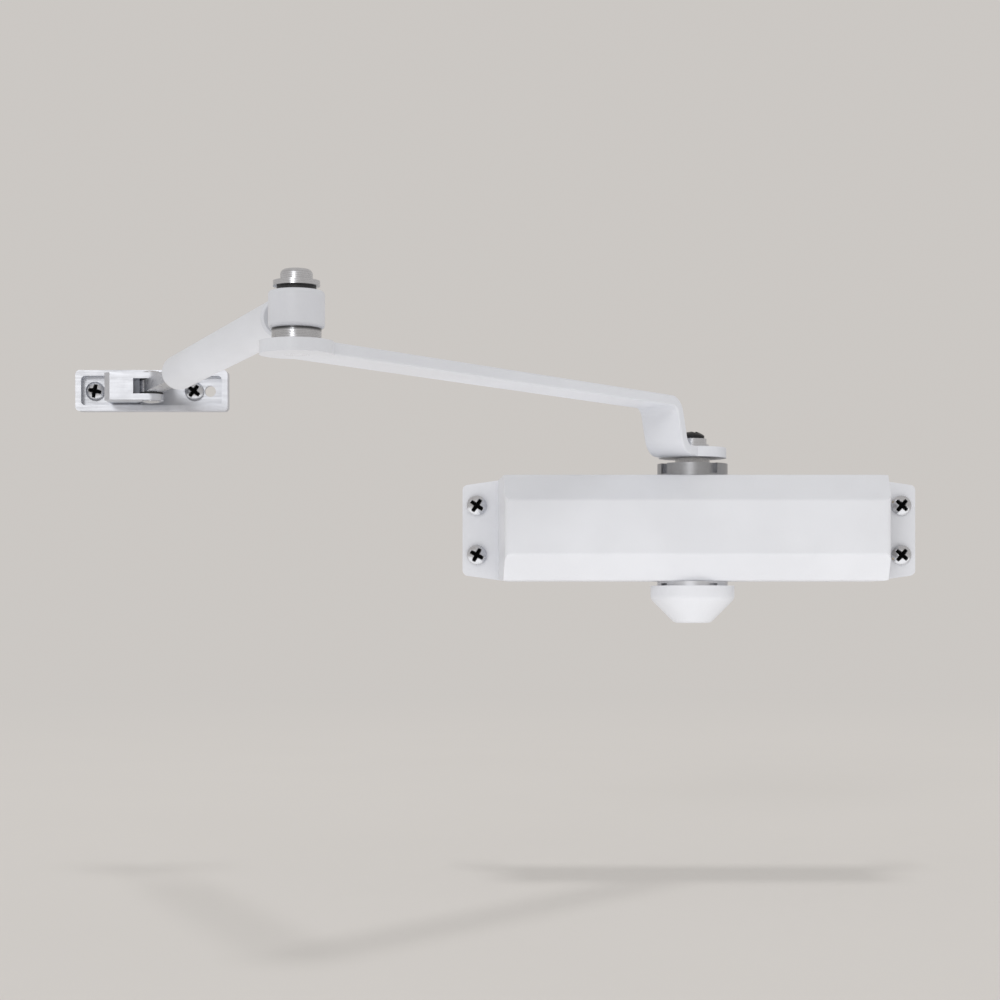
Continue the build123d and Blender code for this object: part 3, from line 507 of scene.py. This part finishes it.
def rod_faces(rows, columns):
    """Quads of a closed rod: its wrapped grid, and at each end a fan about one of two added points.

    Each fan quad spans two steps of the ring, so the number of columns is even.
    """
    first = np.arange(0, columns, 2)
    ring = np.stack([first, first + 1, (first + 2) % columns], axis=-1)
    hub = np.full((len(first), 1), rows * columns)
    start = np.concatenate([hub, ring[:, ::-1]], axis=-1)
    end = np.concatenate([hub + 1, ring + (rows - 1) * columns], axis=-1)
    return np.concatenate([grid_faces(rows, columns, True), start, end])


def joined(shells):
    """Several (points, faces, mask) shells as one; faces count on from the points before them."""
    points = np.concatenate([shell[0] for shell in shells])
    masks = np.concatenate([shell[2] for shell in shells])
    starts = np.cumsum([0] + [len(shell[0]) for shell in shells[:-1]])
    faces = np.concatenate([shell[1] + start for shell, start in zip(shells, starts)])
    return points, faces, masks


def lathe_shell(radii, heights, columns):
    """Surface of revolution: point = (r cos t, r sin t, h) for each profile corner and angle t."""
    angles = np.linspace(0.0, 2.0 * np.pi, columns, endpoint=False)
    radii = np.asarray(radii)[:, None]
    x = radii * np.cos(angles)
    y = radii * np.sin(angles)
    z = np.broadcast_to(np.asarray(heights)[:, None], x.shape)
    points = np.stack([x, y, z], axis=-1).reshape(-1, 3)
    return points, grid_faces(len(radii), columns, True), np.zeros(len(points))


def thread_shell(crest, depth, pitch, start, end, fade, point, columns, steps):
    """Threaded rod along Z: r = crest - depth * groove(h / pitch - t / turn), drawn in to a point.

    The groove is a raised cosine to the power 0.7, so crests are narrower than roots. It fades in
    over the first turns, and the last stretch tapers linearly to a small tip.
    """
    angles = np.linspace(0.0, 2.0 * np.pi, columns, endpoint=False)[None, :]
    span = abs(end - start)
    along = np.linspace(0.0, span, int(span / pitch * steps) + 1)[:, None]
    phase = along / pitch - angles / (2.0 * np.pi)
    groove = (0.5 - 0.5 * np.cos(2.0 * np.pi * phase)) ** 0.7
    grown = np.clip(along / fade, 0.0, 1.0)
    radius = crest - depth * groove * grown
    taper = np.clip((span - along) / point, 0.12, 1.0)
    radius = radius * taper
    way = 1.0 if end > start else -1.0
    height = np.broadcast_to(start + way * along, radius.shape)
    points = np.stack([radius * np.cos(angles), radius * np.sin(angles), height], axis=-1)
    # Mask of painted shade in the thread roots.
    mask = (0.75 * groove * grown).reshape(-1)
    points = np.concatenate([points.reshape(-1, 3), [[0.0, 0.0, start], [0.0, 0.0, end]]])
    return points, rod_faces(len(along), columns), np.concatenate([mask, [0.0, 0.0]])


def coil_shell(centre, start, end, coil, wire, closed, turns, steps=64, columns=20):
    """Coil along X: a circle of the wire's radius carried along a helix with closed end turns.

    The path is (x(t), coil cos 2 pi t, coil sin 2 pi t) for t turns. Its rise is the running sum of
    a pitch that is the closed one in the first and last turn and eases to the open one between
    them. The circle's axes are the outward radius and the normal of path and radius.
    """
    turn = np.linspace(0.0, turns, turns * steps + 1)
    inside = np.minimum(turn, turns - turn) - 1.0
    ease = np.clip(inside / 0.25 + 0.5, 0.0, 1.0)
    ease = ease * ease * (3.0 - 2.0 * ease)
    middle = (ease[1:] + ease[:-1]) / 2.0 * np.diff(turn)
    opened = np.concatenate([[0.0], np.cumsum(middle)])
    gain = (end - start - closed * turns) / opened[-1]
    x = start + closed * turn + gain * opened
    angle = 2.0 * np.pi * turn
    zero = np.zeros_like(turn)
    outward = np.stack([zero, np.cos(angle), np.sin(angle)], axis=-1)
    path = np.stack([x, zero, zero], axis=-1) + coil * outward + np.asarray(centre)
    climb = (closed + gain * ease) / (2.0 * np.pi)
    way = np.stack([climb, -coil * np.sin(angle), coil * np.cos(angle)], axis=-1)
    way = way / np.linalg.norm(way, axis=-1, keepdims=True)
    side = np.cross(way, outward)
    around = np.linspace(0.0, 2.0 * np.pi, columns, endpoint=False)
    ring = np.cos(around)[:, None] * outward[:, None, :]
    ring = ring + np.sin(around)[:, None] * side[:, None, :]
    points = (path[:, None, :] + wire / 2.0 * ring).reshape(-1, 3)
    points = np.concatenate([points, path[:1], path[-1:]])
    return points, rod_faces(len(turn), columns), np.zeros(len(points))


def cross_head_shell(diameter, height, slot, depth, turn, cells=44):
    """Domed head with a driver cross: z = crown(r) - depth * cross(x, y) on a square made round.

    The square's rings become circles, so the rim is even. The crown is a sphere over a straight rim
    of two fifths of the height. The cross is the larger of two soft-edged bars and grows shallow
    outwards.
    """
    side = np.linspace(-1.0, 1.0, cells + 1)
    a, b = np.meshgrid(side, side, indexing="ij")
    wide = np.abs(a) >= np.abs(b)
    big = np.where(wide, a, b)
    small = np.where(wide, b, a)
    lean = np.pi / 4.0 * np.divide(small, big, out=np.zeros_like(big), where=big != 0.0)
    angle = np.where(wide, lean, np.pi / 2.0 - lean)
    radius = diameter / 2.0
    x = radius * big * np.cos(angle)
    y = radius * big * np.sin(angle)
    rise = height * 0.6
    ball = (radius**2 + rise**2) / (2.0 * rise)
    crown = height - ball + np.sqrt(ball**2 - x**2 - y**2)
    turned_x = x * math.cos(turn) + y * math.sin(turn)
    turned_y = y * math.cos(turn) - x * math.sin(turn)
    reach = diameter * 0.34

    def bar(along, across):
        """A soft-edged bar, one inside and nought outside, narrowing a little to its ends."""
        half = slot / 2.0 * (1.0 - 0.25 * np.clip(np.abs(along) / reach, 0.0, 1.0))
        edge = np.clip((half - np.abs(across)) / (0.16 * slot) + 0.5, 0.0, 1.0)
        stop = np.clip((reach - np.abs(along)) / (0.30 * slot) + 0.5, 0.0, 1.0)
        return edge * stop

    cross = np.maximum(bar(turned_x, turned_y), bar(turned_y, turned_x))
    hollow = depth * cross * (1.0 - 0.45 * np.hypot(x, y) / radius)
    points = np.stack([x, y, crown - hollow], axis=-1).reshape(-1, 3)
    # Mask of painted shade in the driver cross.
    dark = np.clip(cross * 1.15, 0.0, 1.0).reshape(-1)
    top = (points, grid_faces(cells + 1, cells + 1, False), dark)
    rim_radii = [radius, radius, radius * 0.97, 0.0]
    rim = lathe_shell(rim_radii, [height - rise, 0.08 * height, 0.0, 0.0], 4 * cells)
    return joined([top, rim])


def shank_shell(diameter, root, length):
    """Plain shank below a head: a closed cylinder from its root in the head down to its length."""
    radius = diameter / 2.0
    return lathe_shell([0.0, radius, radius, 0.0], [root, root, -length, -length], columns=40)


def wood_thread(crest, pitch, neck, reach, point):
    """Tapering wood thread that hangs below a neck, its groove a third of the crest radius deep."""
    end = -(neck + reach)
    grown = 2.0 * pitch
    return thread_shell(crest, crest * 0.34, pitch, -neck, end, grown, point, columns=36, steps=12)


def to_wall(points, place):
    """Turns local Z to -Y, out of a wall, and moves to a place: (a, b, h) to (a, -h, b)."""
    return np.stack([points[:, 0], -points[:, 2], points[:, 1]], axis=-1) + np.asarray(place)


def close_mesh(mesh):
    """Merges doubled points, so seams and poles close, and turns the faces outwards."""
    work = bmesh.new()
    work.from_mesh(mesh)
    bmesh.ops.remove_doubles(work, verts=work.verts, dist=1e-6)
    bmesh.ops.recalc_face_normals(work, faces=work.faces)
    work.to_mesh(mesh)
    work.free()


def new_piece(name, shells, material_list, body, indices=None):
    """A mesh piece from shells, closed and turned outwards; its mask of painted shade is an
    attribute.
    """
    points, faces, mask = joined(shells)
    mesh = bpy.data.meshes.new(name)
    mesh.from_pydata(points.tolist(), [], faces.tolist())
    recess = mesh.attributes.new("recess", "FLOAT", "POINT")
    recess.data.foreach_set("value", mask.astype(np.float32))
    for material in material_list:
        mesh.materials.append(material)
    if indices is not None:
        counts = [len(shell[1]) for shell in shells]
        mesh.polygons.foreach_set("material_index", np.repeat(indices, counts).astype(np.int32))
    close_mesh(mesh)
    mesh.shade_smooth()
    mesh.set_sharp_from_angle(angle=math.radians(38.0))
    piece = bpy.data.objects.new(name, mesh)
    bpy.context.scene.collection.objects.link(piece)
    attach(piece, body)
    return piece


class CLOSER_OT_housing(bpy.types.Operator):
    """Paint the cast housing and finish its cap, bearing nuts and end plug"""

    bl_idname = "closer.housing"
    bl_label = "Finish Housing"

    def execute(self, context):
        colours = context.scene.closer_finishes
        body = paint_material("housing_paint", colours.body_paint, roughness=0.42, peel_scale=900.0)
        paint_nodes(body, "closer_body")
        white = colours.cap_plastic
        cap = moulded_material("cap_plastic", white, roughness=0.46, peel_scale=1300.0)
        paint_nodes(cap, "spindle_cap")
        # Painted light and shade on one zinc plating: the upper nut is painted darker as painted
        # shade under the arm's hub, the lower nut lighter as painted light.
        dull, bright = shade(colours.zinc, 0.60), shade(colours.zinc, 1.15)
        upper = turned_material("nut_plating", dull, roughness=0.34, centre=SPINDLE)
        paint_nodes(upper, "upper_bearing_nut")
        lower = turned_material("lower_nut_plating", bright, roughness=0.42, centre=SPINDLE)
        paint_nodes(lower, "lower_bearing_nut")
        steel = colours.bare_steel
        plug = turned_material(
            "plug_steel", steel, roughness=0.34, centre=SPINDLE, turn=ALONG_X, rings=9000.0
        )
        paint_nodes(plug, "end_plug")
        return {"FINISHED"}


class CLOSER_OT_works(bpy.types.Operator):
    """Finish the spindle, piston, valves, bushes and seals inside the housing"""

    bl_idname = "closer.works"
    bl_label = "Finish Works"

    def execute(self, context):
        colours = context.scene.closer_finishes
        steel = colours.bare_steel
        shaft = turned_material("spindle_steel", steel, roughness=0.28, centre=SPINDLE)
        paint_nodes(shaft, "pinion_spindle")
        grain = (60.0, 1800.0, 1800.0)
        ground = brushed_material("ground_steel", steel, roughness=0.26, stretch=grain)
        paint_nodes(ground, "rack_piston", "check_ring", "check_ball")
        bronze = turned_material(
            "bearing_bronze", colours.bronze, roughness=0.44, centre=SPINDLE, rings=9000.0
        )
        paint_nodes(bronze, "upper_bearing_bush", "lower_bearing_bush")
        for name in ("closing_valve", "latching_valve"):
            axis = JOINTS[f"{name}_turn"]["pos_m"]
            brass = turned_material(
                f"{name}_brass", colours.brass, roughness=0.26, centre=axis, turn=ALONG_X
            )
            paint_nodes(brass, name)
        rubber = moulded_material("seal_rubber", colours.rubber, roughness=0.55, peel_scale=1600.0)
        paint_nodes(rubber, "plug_seal", "upper_shaft_seal", "lower_shaft_seal")
        paint_nodes(rubber, "closing_valve_seal", "latching_valve_seal")
        plastic = colours.bearing_plastic
        sleeve = moulded_material("bearing_plastic", plastic, roughness=0.5, peel_scale=1500.0)
        paint_nodes(sleeve, "elbow_bush", "elbow_friction_washer", "shoe_washers")
        return {"FINISHED"}


class CLOSER_OT_spring(bpy.types.Operator):
    """Make the return spring as a coil in place of the CAD spring"""

    bl_idname = "closer.spring"
    bl_label = "Make Return Spring"

    def execute(self, context):
        colours = context.scene.closer_finishes
        sizes = context.scene.closer_details
        low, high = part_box("return_spring")
        wire = sizes.spring_wire
        coil = (high[2] - low[2] - wire) / 2.0
        ends = (low[0] + wire / 2.0, high[0] - wire / 2.0)
        closed = wire + sizes.spring_end_gap
        shell = coil_shell((0.0, *SPINDLE[1:]), *ends, coil, wire, closed, sizes.spring_turns)
        dark = shade(colours.bare_steel, 0.55)
        grain = (700.0, 700.0, 700.0)
        steel = brushed_material("spring_wire", dark, roughness=0.36, stretch=grain)
        piece = new_piece("return_coil", [shell], [steel], "housing")
        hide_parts("return_spring")
        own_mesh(piece)
        return {"FINISHED"}


class CLOSER_OT_arms(bpy.types.Operator):
    """Paint the main arm and forearm tube and finish the elbow stack"""

    bl_idname = "closer.arms"
    bl_label = "Finish Arms"

    def execute(self, context):
        colours = context.scene.closer_finishes
        arm = paint_material("arm_paint", colours.arm_paint, roughness=0.40, peel_scale=800.0)
        paint_nodes(arm, "main_arm", "forearm_tube")
        zinc = colours.zinc
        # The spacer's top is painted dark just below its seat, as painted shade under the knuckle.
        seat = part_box("elbow_spacer")[1][2]
        ring = turned_material(
            "spacer_steel", shade(zinc, 0.90), roughness=0.22, centre=ELBOW, shaded_gap_top=seat
        )
        paint_nodes(ring, "elbow_spacer")
        washer = turned_material("elbow_washer_zinc", zinc, roughness=0.24, centre=ELBOW)
        paint_nodes(washer, "elbow_washer")
        end = (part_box("elbow_pin")[0][2] + PAINTED_END, colours.arm_paint)
        pin = turned_material(
            "pin_zinc", zinc, roughness=0.30, centre=ELBOW, rings=11000.0, painted=end
        )
        paint_nodes(pin, "elbow_pin")
        stack = turned_material("arm_washer_zinc", zinc, roughness=0.28, centre=SPINDLE)
        paint_nodes(stack, "arm_washer", "arm_lock_washer")
        return {"FINISHED"}


class CLOSER_OT_knuckle(bpy.types.Operator):
    """Make the elbow knuckle with its threaded stud"""

    bl_idname = "closer.knuckle"
    bl_label = "Make Knuckle"

    def execute(self, context):
        colours = context.scene.closer_finishes
        sizes = context.scene.closer_details
        low, high = (corner[2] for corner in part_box("elbow_bush"))
        outer = sizes.knuckle_radius
        edge = sizes.knuckle_edge
        bend = np.linspace(0.0, np.pi / 2.0, 9)
        rim = outer - edge
        radii = np.concatenate([rim + edge * np.sin(bend), rim + edge * np.cos(bend)])
        lower = low + edge - edge * np.cos(bend)
        upper = high - edge + edge * np.sin(bend)
        heights = np.concatenate([lower, upper])
        bore = sizes.knuckle_bore
        radii = [bore, *radii, bore, bore]
        heights = [low, *heights, high, low]
        hub = lathe_shell(radii, heights, columns=96)
        hub = (hub[0] + np.array([ELBOW[0], ELBOW[1], 0.0]), hub[1], hub[2])
        profile = (sizes.stud_radius, sizes.stud_depth, sizes.stud_pitch)
        ends = (sizes.stud_start, sizes.stud_length)
        points, faces, mask = thread_shell(
            *profile, *ends, fade=1.0 * MM, point=0.1 * MM, columns=48, steps=12
        )
        along = np.array(FOREARM_WAY)
        across = np.cross([0.0, 0.0, 1.0], along)
        across = across / np.linalg.norm(across)
        upward = np.cross(along, across)
        turned = points[:, 2:3] * along + points[:, 0:1] * across + points[:, 1:2] * upward
        stud = (turned + np.array(ELBOW), faces, mask)
        grey = colours.knuckle_paint
        paint = paint_material("knuckle_paint", grey, roughness=0.40, peel_scale=1000.0)
        thread = recessed_material("stud_plating", shade(colours.zinc, 0.75), roughness=0.34)
        finishes = [paint, thread]
        piece = new_piece(
            "knuckle_with_thread", [hub, stud], finishes, "knuckle", [0, 1]
        )
        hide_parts("forearm_knuckle")
        return {"FINISHED"}


class CLOSER_OT_screws(bpy.types.Operator):
    """Make the wood screws of housing and shoe and the screw of the main arm"""

    bl_idname = "closer.screws"
    bl_label = "Make Screws"

    def wall_group(self, name, mount, turns, sizes, body, material):
        """Screws at every place of a rectangular or straight mount pattern."""
        head, head_height, neck, plate, reach = sizes
        details = bpy.context.scene.closer_details
        slot, depth = details.cross_width, details.cross_depth
        dims = mount["dims"]
        half_x = dims["spacing_x_mm"] * MM / 2.0
        half_z = dims.get("spacing_y_mm", 0.0) * MM / 2.0
        rows = (-half_z, half_z) if half_z else (0.0,)
        places = [(x, z) for x in (-half_x, half_x) for z in rows]
        crest = dims["stud_r_mm"] * MM
        centre = mount["pos_m"]
        shank = shank_shell(neck, details.shank_root, plate)
        thread = wood_thread(crest, details.wood_pitch, plate, reach, details.wood_point)
        shells = []
        for (x, z), turn in zip(places, turns, strict=True):
            crossed = cross_head_shell(head, head_height, slot, depth, math.radians(turn))
            screw = joined([crossed, shank, thread])
            place = (centre[0] + x, centre[1] - plate, centre[2] + z)
            shells.append((to_wall(screw[0], place), screw[1], screw[2]))
        return new_piece(name, shells, [material], body)

    def execute(self, context):
        colours = context.scene.closer_finishes
        details = context.scene.closer_details
        plated = recessed_material("screw_plating", colours.zinc, roughness=0.30)
        mount = MOUNTS["body_screws"]
        head = (details.body_head, details.body_head_height)
        sizes = (*head, details.body_neck, details.lug, details.body_reach)
        turns = BODY_SCREW_TURNS
        body = self.wall_group("wood_screws_housing", mount, turns, sizes, "housing", plated)
        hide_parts("body_screws")
        mount = MOUNTS["shoe_screws"]
        head = (details.shoe_head, details.shoe_head_height)
        sizes = (*head, details.shoe_neck, details.tray_floor, details.shoe_reach)
        turns = SHOE_SCREW_TURNS
        shoe = self.wall_group("wood_screws_shoe", mount, turns, sizes, "shoe", plated)
        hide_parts("shoe_screws")
        black = recessed_material("arm_screw_black", colours.black_steel, roughness=0.34)
        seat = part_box("arm_lock_washer")[1][2]
        head = (details.arm_head, details.arm_head_height, details.cross_width, details.cross_depth)
        head = cross_head_shell(*head, ARM_SCREW_TURN)
        shank = shank_shell(details.arm_shank, details.shank_root, details.arm_reach)
        place = np.array([SPINDLE[0], SPINDLE[1], seat])
        shells = [(points + place, faces, mask) for points, faces, mask in (head, shank)]
        arm = new_piece("arm_screw_crossed", shells, [black], "spindle")
        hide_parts("arm_screw")
        return {"FINISHED"}


class CLOSER_OT_shoe(bpy.types.Operator):
    """Finish the frame shoe, its rivet and the rod end"""

    bl_idname = "closer.shoe"
    bl_label = "Finish Shoe"

    def execute(self, context):
        colours = context.scene.closer_finishes
        floor = MOUNTS["shoe_back"]["pos_m"][1] - context.scene.closer_details.tray_floor
        grain = (70.0, 1300.0, 1300.0)
        pale = colours.shoe_zinc
        # The tray floor is painted greyer behind its rim, as painted shade.
        tray = brushed_material(
            "shoe_plating", pale, roughness=0.44, stretch=grain, stain=0.80, shade_plane=floor
        )
        paint_nodes(tray, "shoe_plate")
        grain = (900.0, 120.0, 900.0)
        rod = brushed_material("rod_end_plating", colours.zinc, roughness=0.30, stretch=grain)
        paint_nodes(rod, "rod_end")
        axis = JOINTS["shoe_turn"]["pos_m"]
        rivet = turned_material("rivet_zinc", colours.zinc, roughness=0.28, centre=axis)
        paint_nodes(rivet, "shoe_pin")
        return {"FINISHED"}


class CLOSER_OT_stage(bpy.types.Operator):
    """Lay the floor, hang the lights and set the camera"""

    bl_idname = "closer.stage"
    bl_label = "Set Stage"

    def floor(self, stage):
        """Round floor: rings of growing radius, pale, fading to the background's colour far out."""
        radii = stage.floor_span * np.linspace(0.0, 1.0, 24) ** 2
        points, faces, _ = lathe_shell(radii, np.full_like(radii, -stage.floor_drop), columns=96)
        mesh = bpy.data.meshes.new("floor")
        mesh.from_pydata(points.tolist(), [], faces.tolist())
        close_mesh(mesh)
        floor = bpy.data.objects.new("floor", mesh)
        bpy.context.scene.collection.objects.link(floor)
        material, tree, shader, coordinates = start_material("floor_pale")
        cloud = noise_node(tree, coordinates.outputs["Object"], 9.0, 3.0)
        dull, bright = (shade(stage.floor_colour, gain) for gain in (0.985, 1.01))
        tint = blend_colours(tree, cloud, dull, bright)
        tree.links.new(tint, shader.inputs["Base Color"])
        shader.inputs["Roughness"].default_value = 0.9
        far = add_node(tree, "ShaderNodeVectorMath", operation="LENGTH")
        tree.links.new(coordinates.outputs["Object"], far.inputs[0])
        fade = range_node(tree, far.outputs["Value"], stage.fade_start, stage.fade_end, 0.0, 1.0)
        glow = add_node(tree, "ShaderNodeEmission")
        glow.inputs["Color"].default_value = (*stage.floor_colour, 1.0)
        mix = add_node(tree, "ShaderNodeMixShader")
        tree.links.new(fade, mix.inputs[0])
        tree.links.new(shader.outputs[0], mix.inputs[1])
        tree.links.new(glow.outputs[0], mix.inputs[2])
        tree.links.new(mix.outputs[0], tree.nodes["Material Output"].inputs["Surface"])
        mesh.materials.append(material)
        return floor

    def lamp(self, name, kind, power, place, target, **settings):
        """A light that looks from a place to a target."""
        data = bpy.data.lights.new(name, kind)
        data.energy = power
        for key, value in settings.items():
            setattr(data, key, value)
        lamp = bpy.data.objects.new(name, data)
        bpy.context.scene.collection.objects.link(lamp)
        lamp.location = place
        lamp.rotation_euler = (Vector(target) - Vector(place)).to_track_quat("-Z", "Y").to_euler()
        lamp.visible_camera = False
        return lamp

    def world(self, stage):
        """Even pale surroundings; rays that see the background find the floor's colour instead."""
        world = bpy.data.worlds.new("studio")
        bpy.context.scene.world = world
        world.use_nodes = True
        tree = world.node_tree
        even = tree.nodes["Background"]
        even.inputs["Color"].default_value = (1.0, 0.995, 0.985, 1.0)
        even.inputs["Strength"].default_value = stage.world_power
        seen = add_node(tree, "ShaderNodeBackground")
        seen.inputs["Color"].default_value = (*stage.floor_colour, 1.0)
        mix = add_node(tree, "ShaderNodeMixShader")
        tree.links.new(seen_rays(tree), mix.inputs[0])
        tree.links.new(even.outputs[0], mix.inputs[1])
        tree.links.new(seen.outputs[0], mix.inputs[2])
        tree.links.new(mix.outputs[0], tree.nodes["World Output"].inputs["Surface"])

    def camera(self, stage):
        """A level camera in front of the housing and a little below it, its frame shifted up."""
        data = bpy.data.cameras.new("camera")
        data.sensor_width = 36.0
        data.lens = stage.lens
        data.shift_y = stage.rise
        data.clip_start = 0.01
        camera = bpy.data.objects.new("camera", data)
        bpy.context.scene.collection.objects.link(camera)
        camera.location = (stage.camera_x, stage.camera_y, stage.camera_z)
        camera.rotation_euler = (math.pi / 2.0, 0.0, 0.0)
        bpy.context.scene.camera = camera

    def execute(self, context):
        stage = context.scene.closer_stage
        centre = (0.0, 0.0, 0.0)
        overhead = (0.0, 0.0, 1.0)
        soft = math.radians(10.0)
        shadow = self.lamp("floor_light", "SUN", stage.floor_power, overhead, centre, angle=soft)
        lit = bpy.data.collections.new("floor_only")
        lit.objects.link(self.floor(stage))
        shadow.light_linking.receiver_collection = lit
        front_left = (-0.25, -1.0, 0.33)
        self.lamp("key", "SUN", stage.key_power, front_left, centre, angle=math.radians(16.0))
        low = {"shape": "RECTANGLE", "size": 1.1, "size_y": 0.22, "color": (0.96, 0.98, 1.0)}
        under = (stage.camera_x, -0.13, 0.01 - stage.floor_drop)
        self.lamp("low_fill", "AREA", stage.under_power, under, (under[0], under[1], 0.0), **low)
        self.world(stage)
        self.camera(stage)
        context.scene.view_settings.view_transform = "Standard"
        return {"FINISHED"}


OPERATORS = (
    CLOSER_OT_housing,
    CLOSER_OT_works,
    CLOSER_OT_spring,
    CLOSER_OT_arms,
    CLOSER_OT_knuckle,
    CLOSER_OT_screws,
    CLOSER_OT_shoe,
    CLOSER_OT_stage,
)


class CLOSER_PT_sidebar(bpy.types.Panel):
    """Lists the steps and the values that they use"""

    bl_idname = "CLOSER_PT_sidebar"
    bl_label = "Door Closer"
    bl_space_type = "VIEW_3D"
    bl_region_type = "UI"
    bl_category = "Closer"

    def draw(self, context):
        layout = self.layout
        for operator in OPERATORS:
            layout.operator(operator.bl_idname)
        for settings in ("closer_finishes", "closer_details", "closer_stage"):
            box = layout.box()
            group = getattr(context.scene, settings)
            for name in group.__annotations__:
                box.prop(group, name)


CLASSES = (CloserFinishes, CloserDetails, CloserStage, *OPERATORS, CLOSER_PT_sidebar)
SETTINGS = {
    "closer_finishes": CloserFinishes,
    "closer_details": CloserDetails,
    "closer_stage": CloserStage,
}


def register():
    """Registers the classes and hangs their settings on the scene."""
    for item in CLASSES:
        bpy.utils.register_class(item)
    for name, group in SETTINGS.items():
        setattr(bpy.types.Scene, name, bpy.props.PointerProperty(type=group))


def unregister():
    """Takes the settings and classes away again."""
    for name in SETTINGS:
        delattr(bpy.types.Scene, name)
    for item in reversed(CLASSES):
        bpy.utils.unregister_class(item)


def main():
    """Runs every step in order."""
    register()
    bpy.ops.closer.housing()
    bpy.ops.closer.works()
    bpy.ops.closer.spring()
    bpy.ops.closer.arms()
    bpy.ops.closer.knuckle()
    bpy.ops.closer.screws()
    bpy.ops.closer.shoe()
    bpy.ops.closer.stage()


if __name__ == "__main__":
    main()
